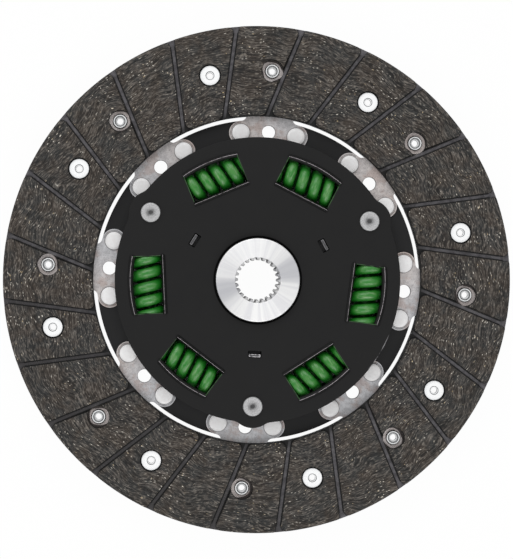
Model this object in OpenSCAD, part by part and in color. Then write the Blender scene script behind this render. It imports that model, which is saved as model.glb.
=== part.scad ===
/* [Facings] */
// Outer diameter of the two friction facings
facing_od = 240; // [234:1:246]
// Inner diameter of the two friction facings
facing_id = 155; // [154:0.5:158]
// Thickness of one facing
facing_t = 3.5; // [3.2:0.1:4]
// Chamfer along the rims of a facing's rubbing face
facing_chamfer = 0.7; // [0.3:0.1:0.9]
// Width of a cooling groove
groove_w = 2.2; // [1.8:0.1:2.6]
// Depth of a cooling groove
groove_depth = 1.2; // [0.8:0.1:1.5]
// Distance from the axis to the centre line of every groove
groove_offset = 25.4; // [24:0.2:27]
// Rounding of the pads' corners at the inner rim
pad_inner_r = 3.2; // [2:0.1:3.6]
// Rounding of the pads' corners at the outer rim
pad_outer_r = 1; // [0.5:0.1:1.5]

/* [Facing rivets] */
// Distance of the facing rivets from the facing's inner rim
facing_rivet_inset = 21.6; // [20:0.2:23]
// Diameter of a facing rivet's head
facing_head_d = 9.4; // [8.6:0.1:9.8]
// Thickness of a facing rivet's head
facing_head_t = 1; // [0.8:0.1:1.1]
// Outer diameter of a facing rivet's tubular shank
facing_shank_d = 4.2; // [4:0.1:4.6]
// Diameter of the hole through a facing rivet
facing_rivet_bore_d = 2.8; // [2.2:0.1:3]
// Diameter of a facing rivet's rolled end
rolled_end_d = 5.8; // [5.4:0.1:6.2]
// Thickness of facing left under a rivet's head
facing_ledge_t = 1.4; // [1.2:0.1:1.7]
// Gap round a rivet's head in its recess
head_recess_gap = 0.45; // [0.3:0.05:0.6]

/* [Cushion segments] */
// Thickness of the spring steel cushion segments
segment_t = 0.7; // [0.6:0.05:0.9]
// Height of the wave that holds the two facings apart
wave_h = 1; // [0.8:0.05:1.1]
// Width of the neck between a segment's foot and its paddle
neck_w = 22.2; // [20:0.2:23]
// Diameter of the sight hole in the middle of each foot
sight_hole_d = 6.3; // [5:0.1:6.8]
// Half the width of a segment's foot, measured from the circle of plate rivets
foot_edge = 5.6; // [5.2:0.1:5.8]

/* [Plates] */
// Thickness of the carrier plate and of the retainer plate
plate_t = 2.5; // [2.2:0.1:3]
// Radial gap between the carrier plate and the facings
plate_slot = 1.7; // [1.2:0.1:2.2]
// Width of the retainer plate's rim outside the hub flange
retainer_rim = 2.8; // [2.4:0.2:3.6]
// Radius of the lobes that surround the stop pins
lobe_r = 10.2; // [9:0.1:10.8]
// Radius that blends a lobe into the plate's rim
lobe_blend_r = 8; // [5:0.5:10]
// Gap between the hub and the retainer plate's bore
retainer_bore_gap = 1; // [0.8:0.1:1.4]
// Head diameter of the rivets that hold the segments
plate_head_d = 8.5; // [7.8:0.1:8.7]
// Head height of the rivets that hold the segments
plate_head_t = 1.4; // [1:0.1:1.6]
// Shank diameter of the rivets that hold the segments
plate_shank_d = 5; // [4.6:0.1:5.4]

/* [Damper springs] */
// Diameter of the circle on which the springs lie
spring_circle_d = 103.6; // [102.4:0.2:104.8]
// Outer diameter of a damper spring
spring_od = 16; // [15.4:0.1:16.4]
// Wire diameter of a damper spring
spring_wire_d = 5; // [4.6:0.1:5.1]
// Length of the windows that hold the springs
window_l = 26.8; // [26:0.2:27.6]
// Width of the raised lips along the windows
lip_w = 1.7; // [1.2:0.1:2]
// Height of the raised lips above the plates
lip_h = 1.3; // [0.8:0.1:1.8]

/* [Hub] */
// Outer diameter of the hub
hub_od = 39.4; // [38.4:0.2:40.2]
// Length of the hub in front of the middle of the facings
hub_front_l = 15.5; // [14.5:0.5:18]
// Length of the hub behind the middle of the facings
hub_rear_l = 11.5; // [9:0.5:13]
// Thickness of the hub's flange
flange_t = 5; // [4.6:0.1:5.6]
// Width of the flange's rim outside the springs
flange_rim = 4.6; // [4:0.1:5]
// Minor diameter of the spline
spline_minor_d = 18.1; // [17.5:0.1:18.6]
// Major diameter of the spline
spline_major_d = 21.3; // [20.8:0.1:21.8]

/* [Stop pins] */
// Distance of the stop pins' centres inside the flange's rim
pin_inset = 4.9; // [4.6:0.1:5.4]
// Diameter of a stop pin between the two plates
pin_body_d = 8.8; // [8:0.1:9]
// Diameter of a stop pin inside the plates
pin_shank_d = 6.4; // [6:0.1:7]
// Diameter of a stop pin's riveted heads
pin_head_d = 9.3; // [8.8:0.1:9.8]
// Thickness of a stop pin's riveted heads
pin_head_t = 1.3; // [1:0.1:1.6]
// Angle that the hub turns each way before the stop pins meet their notches
twist_limit = 5; // [3:0.5:6]

/* [Friction device] */
// Outer diameter of the friction rings and of the bush's flange
ring_od = 66; // [62:0.5:66.5]
// Thickness of the front friction ring
front_ring_t = 1; // [0.8:0.1:1.4]
// Thickness of the rear friction ring
rear_ring_t = 1.1; // [0.8:0.1:1.4]
// Thickness of the thrust ring
thrust_t = 0.8; // [0.7:0.1:1.2]
// Height of the disc spring as fitted
cone_h = 0.9; // [0.8:0.1:1.2]
// Thickness of the disc spring
cone_t = 0.5; // [0.4:0.05:0.6]
// Thickness of the centring bush's flange
bush_flange_t = 1.6; // [1.2:0.1:2]
// Wall of the centring bush round the hub
bush_wall = 2.5; // [2:0.1:3]
// Distance from the friction rings' rim out to the middle of the lug slots
lug_reach = 2; // [1.8:0.1:2.6]

/* [Hidden] */
$fn = 96;
groove_count = 24;
groove_turn = -7.6;
segment_count = 8;
segment_step = 360 / segment_count;
segment_turn = 40.45;
foot_rivet_turn = 10.75;
front_rivet_turn = 13;
rear_rivet_turn = 40.8;
late_rivets = [[5, 1.6, 0], [6, 2.6, 1.6]];
spring_turns = [-7.5, 62.5, 112.5, 182.5, 232.5, 302.5];
spring_phases = [218, 32, 324, 126, 326, 81];
pin_turn = 27.7;
pin_step = 120;
spline_teeth = 24;
spline_turn = 20.8;
wide_share = 0.33;
narrow_share = 0.16;

plate_fit = 0.05;
run_gap = 0.1;
bush_play = 0.08;
pin_play = 0.3;
spring_side_gap = 0.25;
spring_end_gap = 0.15;
bite = 0.02;
cut = 1;

facing_or = facing_od / 2;
facing_ir = facing_id / 2;
facing_z = segment_t / 2 + wave_h / 2;
facing_rivet_r = facing_ir + facing_rivet_inset;
flip_turn = front_rivet_turn + rear_rivet_turn;

carrier_r = facing_ir - plate_slot;
foot_r = carrier_r - foot_edge;
spring_r = spring_circle_d / 2;
flange_r = spring_r + spring_od / 2 + flange_rim;
retainer_r = flange_r + retainer_rim;
pin_r = flange_r - pin_inset;
hub_r = hub_od / 2;
bush_r = hub_r + bush_play;
ring_hub_gap = 1.8;
ring_ir = hub_r + ring_hub_gap;
ring_or = ring_od / 2;
lug_circle_r = ring_or + lug_reach;
cone_bore_gap = 3;
cone_rim_gap = 0.5;

rear_z = -facing_z;
rear_ring_z = rear_z + bush_flange_t;
flange_z = rear_ring_z + rear_ring_t + run_gap;
front_ring_z = flange_z + flange_t + run_gap;
thrust_z = front_ring_z + front_ring_t;
cone_z = thrust_z + thrust_t;
retainer_z = cone_z + cone_h;
spring_z = (rear_z + retainer_z) / 2;

window_in_reach = 6.2;
window_out_reach = 6.3;
window_in = spring_r - window_in_reach;
window_out = spring_r + window_out_reach;
window_relief = 1.5;
lip_l = window_l + 0.8;
lip_edge = 0.4;
lip_root = 0.6;

slot_size = [3.3, 6.2];
lug_t = 1.3;
lug_w = 5.4;
lug_gap = 0.4;

paddle_gap_angle = 0.6;
paddle_inset = 2;
paddle_outer_corner_r = 4;
paddle_inner_corner_r = 2;
wave_foot_gap = 0.5;
wave_rivet_gap = 5;

head_edge = 0.5;
dimple_r = 2.1;
dimple_depth = 0.9;

// How far front facing rivet k sits off the even pattern: its turn is item 1, its step inwards item 2
function late(k, item) = [for (rivet = late_rivets) if (rivet[0] == k) rivet[item], 0][0];

// Angle and distance from the axis of front facing rivet k
function front_rivet_place(k) =
    [front_rivet_turn + k * segment_step + late(k, 1), facing_rivet_r - late(k, 2)];

// Angle and distance from the axis of rear facing rivet k
function rear_rivet_place(k) = [rear_rivet_turn + k * segment_step, facing_rivet_r];

// The same place seen from the other side of the disc
function flipped_place(place) = [flip_turn - place[0], place[1]];

// Places its children at an angle and a distance from the axis
module at(turn, r) {
    rotate([0, 0, turn]) translate([r, 0, 0]) children();
}

// Turns a front part over to the rear side, so that both facings are the same part
module flipped() {
    rotate([0, 0, flip_turn]) rotate([180, 0, 0]) children();
}

// Ring with a rectangular section
module ring(inner, outer, h) {
    difference() {
        cylinder(h = h, r = outer);
        translate([0, 0, -cut]) cylinder(h = h + 2 * cut, r = inner);
    }
}

// Flat wedge from the axis, from -half to +half degrees
module wedge(half, reach) {
    polygon([
        [0, 0],
        [reach, -reach * tan(half)],
        [reach, reach * tan(half)]
    ]);
}

// Flat shape that rounds the corner between a line at y = line_y and a rim circle. The rounding circle
// bites a little past both, so that they cross it cleanly where they would only touch it
module corner_cutter(line_y, side, rim_r, outer, f) {
    sign_r = outer ? 1 : -1;
    centre_r = rim_r - sign_r * (f - bite);
    centre_y = line_y + side * (f - bite);
    centre_x = sqrt(centre_r * centre_r - centre_y * centre_y);
    past = 0.5;
    corner_x = sqrt(rim_r * rim_r - line_y * line_y) + sign_r * past;
    past_y = line_y - side * past;
    reach = (rim_r + sign_r * past) / centre_r;
    difference() {
        polygon([
            [corner_x, past_y],
            [centre_x, past_y],
            [centre_x, centre_y],
            [centre_x * reach, centre_y * reach]
        ]);
        translate([centre_x, centre_y]) circle(f);
    }
}

// Outline of one straight groove, with the rounded corners of the pads beside it
module groove() {
    start = sqrt(facing_ir * facing_ir - groove_offset * groove_offset) - 2 * cut;
    stop = sqrt(facing_or * facing_or - groove_offset * groove_offset) + 2 * cut;
    translate([start, groove_offset - groove_w / 2]) square([stop - start, groove_w]);
    for (side = [-1, 1]) {
        edge = groove_offset + side * groove_w / 2;
        corner_cutter(edge, side, facing_ir, false, pad_inner_r);
        corner_cutter(edge, side, facing_or, true, pad_outer_r);
    }
}

// Facing with its rubbing face up: heads are recessed, and the other rivets' ends show in the holes
module facing(head_places, end_places) {
    top = facing_z + facing_t;
    difference() {
        rotate_extrude() polygon([
            [facing_ir, facing_z],
            [facing_or, facing_z],
            [facing_or, top - facing_chamfer],
            [facing_or - facing_chamfer, top],
            [facing_ir + facing_chamfer, top],
            [facing_ir, top - facing_chamfer]
        ]);
        for (k = [0 : groove_count - 1])
            rotate([0, 0, groove_turn + k * 360 / groove_count])
                translate([0, 0, top - groove_depth])
                    linear_extrude(groove_depth + cut) groove();
        for (place = head_places) {
            at(place[0], place[1]) translate([0, 0, facing_z + facing_ledge_t])
                cylinder(h = facing_t, d = facing_head_d + 2 * head_recess_gap);
            at(place[0], place[1]) translate([0, 0, facing_z - cut])
                cylinder(h = facing_t, d = facing_shank_d + 2 * plate_fit);
        }
        for (place = end_places)
            at(place[0], place[1]) translate([0, 0, facing_z - cut])
                cylinder(h = facing_t + 2 * cut, d = facing_head_d + 2 * head_recess_gap);
    }
}

module front_facing() {
    color([0.24, 0.22, 0.2]) facing(
        [for (k = [0 : segment_count - 1]) front_rivet_place(k)],
        [for (k = [0 : segment_count - 1]) rear_rivet_place(k)]
    );
}

module rear_facing() {
    color([0.24, 0.22, 0.2]) flipped() facing(
        [for (k = [0 : segment_count - 1]) flipped_place(rear_rivet_place(k))],
        [for (k = [0 : segment_count - 1]) flipped_place(front_rivet_place(k))]
    );
}

// Tubular rivet with a flat head on the facing's ledge and a rolled end behind the segment
module facing_rivet() {
    bore_r = facing_rivet_bore_d / 2;
    shank_r = facing_shank_d / 2;
    head_r = facing_head_d / 2;
    seat = facing_z + facing_ledge_t;
    top = seat + facing_head_t;
    end = facing_z - segment_t;
    roll_r = (rolled_end_d / 2 - bore_r) / 2;
    edge = 0.3;
    rotate_extrude() {
        polygon([
            [bore_r, end - roll_r],
            [bore_r + 2 * roll_r, end - roll_r],
            [bore_r + 2 * roll_r, end],
            [shank_r, end],
            [shank_r, seat],
            [head_r, seat],
            [head_r, top - edge],
            [head_r - edge, top],
            [bore_r + 2 * edge, top],
            [bore_r, top - 2 * edge]
        ]);
        translate([bore_r + roll_r, end - roll_r]) circle(roll_r - bite);
    }
}

module front_facing_rivets() {
    color([0.85, 0.86, 0.88])
        for (k = [0 : segment_count - 1], place = [front_rivet_place(k)])
            at(place[0], place[1]) facing_rivet();
}

module rear_facing_rivets() {
    color([0.85, 0.86, 0.88]) flipped()
        for (k = [0 : segment_count - 1], place = [flipped_place(rear_rivet_place(k))])
            at(place[0], place[1]) facing_rivet();
}

// Outline of a cushion segment that points along +X, from the places of its two facing rivets
module segment_outline(rivet_places) {
    paddle_half = (segment_step - paddle_gap_angle) / 2;
    paddle_in = facing_ir + paddle_inset;
    paddle_out = facing_or - paddle_inset;
    difference() {
        union() {
            intersection() {
                difference() {
                    circle(foot_r + foot_edge);
                    circle(foot_r - foot_edge);
                }
                wedge(foot_rivet_turn, carrier_r * 1.2);
            }
            for (side = [-1, 1])
                rotate(side * foot_rivet_turn) translate([foot_r, 0]) circle(foot_edge);
            translate([foot_r, -neck_w / 2]) square([paddle_in + 2 * paddle_inset - foot_r, neck_w]);
            difference() {
                intersection() {
                    difference() {
                        circle(paddle_out);
                        circle(paddle_in);
                    }
                    wedge(paddle_half, facing_or * 1.2);
                }
                for (side = [-1, 1])
                    rotate(side * paddle_half) {
                        corner_cutter(0, -side, paddle_out, true, paddle_outer_corner_r);
                        corner_cutter(0, -side, paddle_in, false, paddle_inner_corner_r);
                    }
            }
        }
        translate([foot_r, 0]) circle(d = sight_hole_d);
        for (side = [-1, 1])
            rotate(side * foot_rivet_turn) translate([foot_r, 0])
                circle(d = plate_shank_d + 2 * plate_fit);
        for (place = rivet_places)
            rotate(place[0]) translate([place[1], 0]) circle(d = facing_shank_d + 2 * plate_fit);
    }
}

// Side view of the wave: flat along the foot and against the rear facing, raised at both ends
module wave_profile() {
    rivet_x = facing_rivet_r * sin(segment_step + front_rivet_turn - segment_turn);
    rise_start = foot_r * sin(foot_rivet_turn) + foot_edge + wave_foot_gap;
    rise_stop = rivet_x - wave_rivet_gap;
    reach = facing_or;
    low = rear_z;
    high = facing_z - segment_t;
    polygon([
        [-reach, high], [-rise_stop, high], [-rise_start, low],
        [rise_start, low], [rise_stop, high], [reach, high],
        [reach, high + segment_t], [rise_stop, high + segment_t],
        [rise_start, low + segment_t], [-rise_start, low + segment_t],
        [-rise_stop, high + segment_t], [-reach, high + segment_t]
    ]);
}

module cushion_segment(n) {
    turn = segment_turn + (n - 1) * segment_step;
    places = [front_rivet_place(n % segment_count), rear_rivet_place(n - 1)];
    color([0.62, 0.61, 0.6]) rotate([0, 0, turn]) intersection() {
        translate([0, 0, rear_z - cut]) linear_extrude(2 * facing_z + 2 * cut)
            segment_outline([for (place = places) [place[0] - turn, place[1]]]);
        rotate([90, 0, 90]) linear_extrude(facing_or) wave_profile();
    }
}

// Solid rivet through a segment's foot and the carrier plate
module plate_rivet() {
    head_r = plate_head_d / 2;
    shank_r = plate_shank_d / 2;
    top = rear_z + segment_t;
    bottom = rear_z - plate_t;
    rotate_extrude() polygon([
        [0, bottom - plate_head_t],
        [head_r - 2 * head_edge, bottom - plate_head_t],
        [head_r - head_edge, bottom - plate_head_t / 2],
        [head_r - head_edge, bottom],
        [shank_r, bottom],
        [shank_r, top],
        [head_r, top],
        [head_r, top + plate_head_t / 2],
        [head_r - head_edge, top + plate_head_t],
        [0, top + plate_head_t]
    ]);
}

module segment_rivets() {
    color([0.8, 0.8, 0.8])
        for (k = [0 : segment_count - 1], side = [-1, 1])
            at(segment_turn + k * segment_step + side * foot_rivet_turn, foot_r) plate_rivet();
}

// Ring made by turning a flat section round the axis, with its seam away from the +X side
module turned() {
    rotate([0, 0, 180]) rotate_extrude() children();
}

// Bar along Y, centred, made from a section drawn in the XZ plane
module bar(length) {
    translate([0, length / 2, 0]) rotate([90, 0, 0]) linear_extrude(length) children();
}

// Cutter for one spring window through a plate whose inner face is at z = 0
module window_cutter() {
    top = plate_t + lip_h + cut;
    near = window_in - 2 * window_relief - cut;
    far = window_out + 2 * window_relief + cut;
    intersection() {
        turned() polygon([
            [near, -cut],
            [window_out + window_relief + cut, -cut],
            [window_out, window_relief],
            [window_out, top],
            [near, top]
        ]);
        bar(window_l) polygon([
            [window_in - window_relief - cut, -cut],
            [far, -cut],
            [far, top],
            [window_in, top],
            [window_in, window_relief]
        ]);
    }
}

// Section of a raised lip, which the cutter trims at its edge; side is -1 inside, 1 outside
module lip_section(edge, side) {
    root = plate_t - lip_root;
    top = plate_t + lip_h;
    polygon([
        [edge - side * lip_edge, root],
        [edge - side * lip_edge, top],
        [edge + side * lip_edge, top],
        [edge + side * (lip_w - lip_edge / 2), plate_t + lip_h / 2],
        [edge + side * (lip_w + lip_edge / 2), root]
    ]);
}

// Lip along a window's side towards the axis, straight
module inner_lip() {
    bar(lip_l) lip_section(window_in, -1);
}

// Lip along a window's side towards the rim, curved round the axis
module outer_lip() {
    intersection() {
        turned() lip_section(window_out, 1);
        translate([spring_r, -lip_l / 2, 0]) cube([spring_r, lip_l, plate_t + lip_h + cut]);
    }
}

// Damper plate from its outline: windows, lips and pin holes, with its inner face at z = 0
module damper_plate() {
    difference() {
        union() {
            linear_extrude(plate_t) children();
            for (turn = spring_turns) rotate([0, 0, turn]) inner_lip();
            for (turn = spring_turns) rotate([0, 0, turn]) outer_lip();
        }
        for (turn = spring_turns) rotate([0, 0, turn]) window_cutter();
        for (k = [0 : 2])
            at(pin_turn + k * pin_step, pin_r) translate([0, 0, -cut])
                cylinder(h = plate_t + 2 * cut, d = pin_shank_d + 2 * plate_fit);
    }
}

module carrier_plate() {
    color([0.12, 0.12, 0.13]) translate([0, 0, rear_z]) mirror([0, 0, 1])
        damper_plate() difference() {
            circle(carrier_r);
            circle(bush_r + bush_wall + plate_fit);
            for (k = [0 : segment_count - 1]) rotate(segment_turn + k * segment_step) {
                translate([foot_r, 0]) circle(d = sight_hole_d);
                for (side = [-1, 1]) rotate(side * foot_rivet_turn) translate([foot_r, 0])
                    circle(d = plate_shank_d + 2 * plate_fit);
            }
        }
}

// Lobe round a stop pin, blended into the plate's rim on both sides
module lobe() {
    far = retainer_r + lobe_blend_r - bite;
    near = lobe_r + lobe_blend_r - bite;
    spread = acos((far * far + pin_r * pin_r - near * near) / (2 * far * pin_r));
    translate([pin_r, 0]) circle(lobe_r);
    for (side = [-1, 1]) {
        blend = far * [cos(spread), side * sin(spread)];
        difference() {
            polygon([[pin_r, 0], blend, blend * (retainer_r - cut) / far]);
            translate(blend) circle(lobe_blend_r);
        }
    }
}

module retainer_plate() {
    color([0.12, 0.12, 0.13]) translate([0, 0, retainer_z])
        damper_plate() difference() {
            union() {
                circle(retainer_r);
                for (k = [0 : 2]) rotate(pin_turn + k * pin_step) lobe();
            }
            circle(hub_r + retainer_bore_gap);
            for (k = [0 : 2]) rotate(pin_turn + k * pin_step)
                translate([lug_circle_r, 0]) square(slot_size, center = true);
        }
}

// Shouldered pin that spaces the plates, riveted over at both ends
module stop_pin(n) {
    body_r = pin_body_d / 2;
    shank_r = pin_shank_d / 2;
    head_r = pin_head_d / 2;
    low = rear_z - plate_t;
    high = retainer_z + plate_t;
    color([0.6, 0.6, 0.6]) at(pin_turn + (n - 1) * pin_step, pin_r) difference() {
        rotate_extrude() polygon([
            [0, low - pin_head_t],
            [head_r - head_edge, low - pin_head_t],
            [head_r, low - pin_head_t / 2],
            [head_r, low],
            [shank_r, low],
            [shank_r, rear_z],
            [body_r, rear_z],
            [body_r, retainer_z],
            [shank_r, retainer_z],
            [shank_r, high],
            [head_r, high],
            [head_r, high + pin_head_t / 2],
            [head_r - head_edge, high + pin_head_t],
            [0, high + pin_head_t]
        ]);
        translate([0, 0, high + pin_head_t - dimple_depth])
            cylinder(h = dimple_depth, r1 = dimple_r / 2, r2 = dimple_r);
        translate([0, 0, low - pin_head_t])
            cylinder(h = dimple_depth, r1 = dimple_r, r2 = dimple_r / 2);
    }
}

// Windows and pin notches in the hub's flange, as a flat shape
module flange_openings() {
    side_r = spring_od / 2 + spring_side_gap;
    corner_r = 0.5;
    notch_r = pin_body_d / 2 + pin_play;
    for (turn = spring_turns) rotate(turn) translate([spring_r, 0]) {
        square([2 * side_r, window_l - 2 * corner_r], center = true);
        square([2 * (side_r - corner_r), window_l], center = true);
        for (x = [-1, 1], y = [-1, 1])
            translate([x * (side_r - corner_r), y * (window_l / 2 - corner_r)]) circle(corner_r);
    }
    for (k = [0 : 2]) rotate(pin_turn + k * pin_step) {
        intersection() {
            difference() {
                circle(flange_r + cut);
                circle(pin_r - notch_r + bite);
            }
            wedge(twist_limit, flange_r + 2 * cut);
        }
        for (side = [-1, 1]) rotate(side * twist_limit) {
            translate([pin_r, 0]) circle(notch_r);
            translate([pin_r, bite - notch_r]) square([2 * notch_r, 2 * (notch_r - bite)]);
        }
    }
}

// Internal spline: a round bore with a tapered space between each pair of teeth
module spline() {
    minor_r = spline_minor_d / 2;
    major_r = spline_major_d / 2;
    wide = wide_share * 2 * PI * minor_r / spline_teeth;
    narrow = narrow_share * 2 * PI * major_r / spline_teeth;
    over = 0.4;
    circle(minor_r);
    intersection() {
        circle(major_r);
        for (k = [0 : spline_teeth - 1]) rotate(spline_turn + k * 360 / spline_teeth)
            polygon([
                [minor_r - over, -wide], [minor_r, -wide], [major_r, -narrow], [major_r + over, -narrow],
                [major_r + over, narrow], [major_r, narrow], [minor_r, wide], [minor_r - over, wide]
            ]);
    }
}

module hub() {
    edge = 0.6;
    fillet = 1;
    mouth = spline_major_d / 2 + edge / 2;
    flare = 1.6;
    flange_top = flange_z + flange_t;
    color([0.78, 0.78, 0.8]) difference() {
        rotate_extrude() {
            polygon([
                [0, -hub_rear_l],
                [hub_r - edge, -hub_rear_l],
                [hub_r, edge - hub_rear_l],
                [hub_r, hub_front_l - edge],
                [hub_r - edge, hub_front_l],
                [0, hub_front_l]
            ]);
            translate([0, flange_z]) square([flange_r, flange_t]);
            difference() {
                translate([0, flange_z - fillet])
                    square([hub_r + fillet, flange_t + 2 * fillet]);
                translate([hub_r + fillet, flange_z - fillet]) circle(fillet);
                translate([hub_r + fillet, flange_top + fillet]) circle(fillet);
            }
        }
        translate([0, 0, -hub_rear_l - cut])
            linear_extrude(hub_rear_l + hub_front_l + 2 * cut) spline();
        translate([0, 0, hub_front_l - flare])
            cylinder(h = flare + cut, r1 = mouth - flare, r2 = mouth + cut);
        translate([0, 0, -hub_rear_l - cut])
            cylinder(h = flare + cut, r1 = mouth + cut, r2 = mouth - flare);
        translate([0, 0, flange_z - cut]) linear_extrude(flange_t + 2 * cut) flange_openings();
    }
}

module centring_bush() {
    stand_out = 0.6;
    sleeve = plate_t + stand_out;
    color([0.75, 0.68, 0.52]) {
        difference() {
            union() {
                translate([0, 0, rear_z]) cylinder(h = bush_flange_t, r = ring_or);
                translate([0, 0, rear_z - sleeve]) cylinder(h = sleeve + cut, r = bush_r + bush_wall);
            }
            translate([0, 0, rear_z - sleeve - cut])
                cylinder(h = sleeve + bush_flange_t + 2 * cut, r = bush_r);
        }
    }
}

module rear_friction_ring() {
    color([0.4, 0.34, 0.26]) translate([0, 0, rear_ring_z]) ring(ring_ir, ring_or, rear_ring_t);
}

module front_friction_ring() {
    color([0.4, 0.34, 0.26]) translate([0, 0, front_ring_z]) ring(ring_ir, ring_or, front_ring_t);
}

// Steel ring whose three lugs stand up through the retainer plate's slots
module thrust_ring() {
    lug_out = lug_circle_r + slot_size[0] / 2 - lug_gap;
    arm_in = ring_ir + cut;
    color([0.55, 0.55, 0.56]) translate([0, 0, thrust_z]) {
        difference() {
            union() {
                cylinder(h = thrust_t, r = ring_or);
                for (k = [0 : 2]) rotate([0, 0, pin_turn + k * pin_step]) {
                    translate([arm_in, -lug_w / 2, 0]) cube([lug_out - arm_in, lug_w, thrust_t]);
                    translate([lug_out - lug_t, -lug_w / 2, 0])
                        cube([lug_t, lug_w, thrust_t + cone_h + plate_t - lug_gap]);
                }
            }
            translate([0, 0, -cut]) cylinder(h = thrust_t + 2 * cut, r = ring_ir);
        }
    }
}

module disc_spring() {
    inner = ring_ir + cone_bore_gap;
    outer = ring_or - cone_rim_gap;
    color([0.5, 0.5, 0.52]) rotate_extrude() polygon([
        [inner, cone_z],
        [outer, retainer_z - cone_t],
        [outer, retainer_z],
        [inner, cone_z + cone_t]
    ]);
}

// Distance of the wire's middle from the spring's middle after t turns: closed at both ends
function coil_height(t, turns, closing, span, pitch) =
    t < closing ? -span + t * (span - (turns / 2 - closing) * pitch) / closing
    : t > turns - closing ? -coil_height(turns - t, turns, closing, span, pitch)
    : (t - turns / 2) * pitch;

// Compression spring along Y with its ends ground flat
module damper_spring(n) {
    turns = 4.5;
    closing = 0.75;
    closed_share = 0.72;
    steps = 18;
    sides = 8;
    wire_r = spring_wire_d / 2;
    coil_r = spring_od / 2 - wire_r;
    half_l = window_l / 2 - spring_end_gap;
    span = half_l - spring_end_gap;
    pitch = 2 * (span - spring_wire_d * closed_share) / (turns - 2 * closing);
    rings = turns * steps;
    points = [
        for (i = [0 : rings], j = [0 : sides - 1])
            let (
                t = i / steps,
                lean = atan(pitch / (2 * PI * coil_r)) * (t < closing || t > turns - closing ? 0.5 : 1),
                around = 360 * t,
                q = 360 * (j + 0.5) / sides,
                r = coil_r + wire_r * cos(q),
                side = wire_r * sin(q),
                y = coil_height(t, turns, closing, span, pitch) + side * cos(lean)
            )
            [
                r * cos(around) + side * sin(lean) * sin(around),
                max(-half_l, min(half_l, y)),
                -r * sin(around) + side * sin(lean) * cos(around)
            ]
    ];
    faces = concat(
        [[for (j = [0 : sides - 1]) j]],
        [
            for (i = [0 : rings - 1], j = [0 : sides - 1])
                let (a = i * sides + j, b = i * sides + (j + 1) % sides)
                each [[a, a + sides, b + sides], [a, b + sides, b]]
        ],
        [[for (j = [sides - 1 : -1 : 0]) rings * sides + j]]
    );
    color([0.2, 0.52, 0.22]) at(spring_turns[n - 1], spring_r)
        translate([0, 0, spring_z]) rotate([0, spring_phases[n - 1], 0])
            polyhedron(points, faces, convexity = 10);
}

front_facing();
rear_facing();
cushion_segment(1);  // cushion_segment_1
cushion_segment(2);  // cushion_segment_2
cushion_segment(3);  // cushion_segment_3
cushion_segment(4);  // cushion_segment_4
cushion_segment(5);  // cushion_segment_5
cushion_segment(6);  // cushion_segment_6
cushion_segment(7);  // cushion_segment_7
cushion_segment(8);  // cushion_segment_8
front_facing_rivets();
rear_facing_rivets();
segment_rivets();
carrier_plate();
retainer_plate();
stop_pin(1);  // stop_pin_1
stop_pin(2);  // stop_pin_2
stop_pin(3);  // stop_pin_3
damper_spring(1);  // damper_spring_1
damper_spring(2);  // damper_spring_2
damper_spring(3);  // damper_spring_3
damper_spring(4);  // damper_spring_4
damper_spring(5);  // damper_spring_5
damper_spring(6);  // damper_spring_6
hub();
centring_bush();
rear_friction_ring();
front_friction_ring();
thrust_ring();
disc_spring();
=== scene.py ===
import math
from functools import cached_property

import bpy
from mathutils import Matrix, Vector, geometry


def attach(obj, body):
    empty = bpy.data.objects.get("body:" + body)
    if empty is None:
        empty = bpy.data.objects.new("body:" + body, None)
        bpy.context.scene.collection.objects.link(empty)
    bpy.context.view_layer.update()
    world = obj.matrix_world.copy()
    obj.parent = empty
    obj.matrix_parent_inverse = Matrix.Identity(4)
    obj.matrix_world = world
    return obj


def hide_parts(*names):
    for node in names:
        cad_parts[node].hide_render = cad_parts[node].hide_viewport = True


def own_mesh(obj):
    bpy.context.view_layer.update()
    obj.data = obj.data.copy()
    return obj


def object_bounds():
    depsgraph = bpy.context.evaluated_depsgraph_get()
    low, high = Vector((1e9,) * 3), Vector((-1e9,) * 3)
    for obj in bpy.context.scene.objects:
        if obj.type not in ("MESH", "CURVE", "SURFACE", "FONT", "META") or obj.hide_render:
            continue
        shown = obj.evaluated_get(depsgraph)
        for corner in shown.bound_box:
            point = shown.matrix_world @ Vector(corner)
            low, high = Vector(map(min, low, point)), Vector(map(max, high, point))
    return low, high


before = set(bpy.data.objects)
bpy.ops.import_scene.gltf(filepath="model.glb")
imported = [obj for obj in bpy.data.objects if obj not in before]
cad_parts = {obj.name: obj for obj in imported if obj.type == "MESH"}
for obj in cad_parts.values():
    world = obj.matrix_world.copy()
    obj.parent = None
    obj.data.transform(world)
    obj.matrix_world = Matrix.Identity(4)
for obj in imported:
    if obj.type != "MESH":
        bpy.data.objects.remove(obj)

cad_low, cad_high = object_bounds()

# Sizes in millimetres, as in the part's source. MM turns them into metres.
MM = 0.001
DISC = "disc"
HUB = "hub"

facing_or = cad_high.x / MM
facing_ir = 77.5
facing_t = 3.5
groove_count = 24
groove_w = 2.2
groove_depth = 1.2
groove_offset = 25.4
groove_turn = -7.6
pad_inner_r = 3.2
pad_outer_r = 1
pad_lead_r = 2.3

segment_count = 8
segment_step = 360 / segment_count
segment_turn = 40.45
segment_t = 0.7
wave_h = 1
foot_rivet_turn = 10.75
foot_edge = 5.6
neck_w = 22.2
paddle_margin = 2
paddle_gap_turn = 0.6
paddle_inner_r = 2
paddle_outer_r = 4
sight_hole_d = 6.3

facing_rivet_r = facing_ir + 21.6
facing_head_d = 9.4
facing_head_t = 1
facing_shank_d = 4.2
facing_bore_d = 2.8
rolled_end_d = 7
facing_ledge_t = 1.4
recess_gap = 0.45
shank_gap = 0.05
front_rivet_turn = 13
rear_rivet_turn = 40.8
late_rivets = {5: (1.6, 0), 6: (2.6, 1.6)}
flip_turn = front_rivet_turn + rear_rivet_turn

plate_t = 2.5
carrier_r = facing_ir - 1.7
foot_r = carrier_r - foot_edge
plate_head_d = 8.5
plate_head_t = 1.4
plate_shank_d = 5

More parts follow.
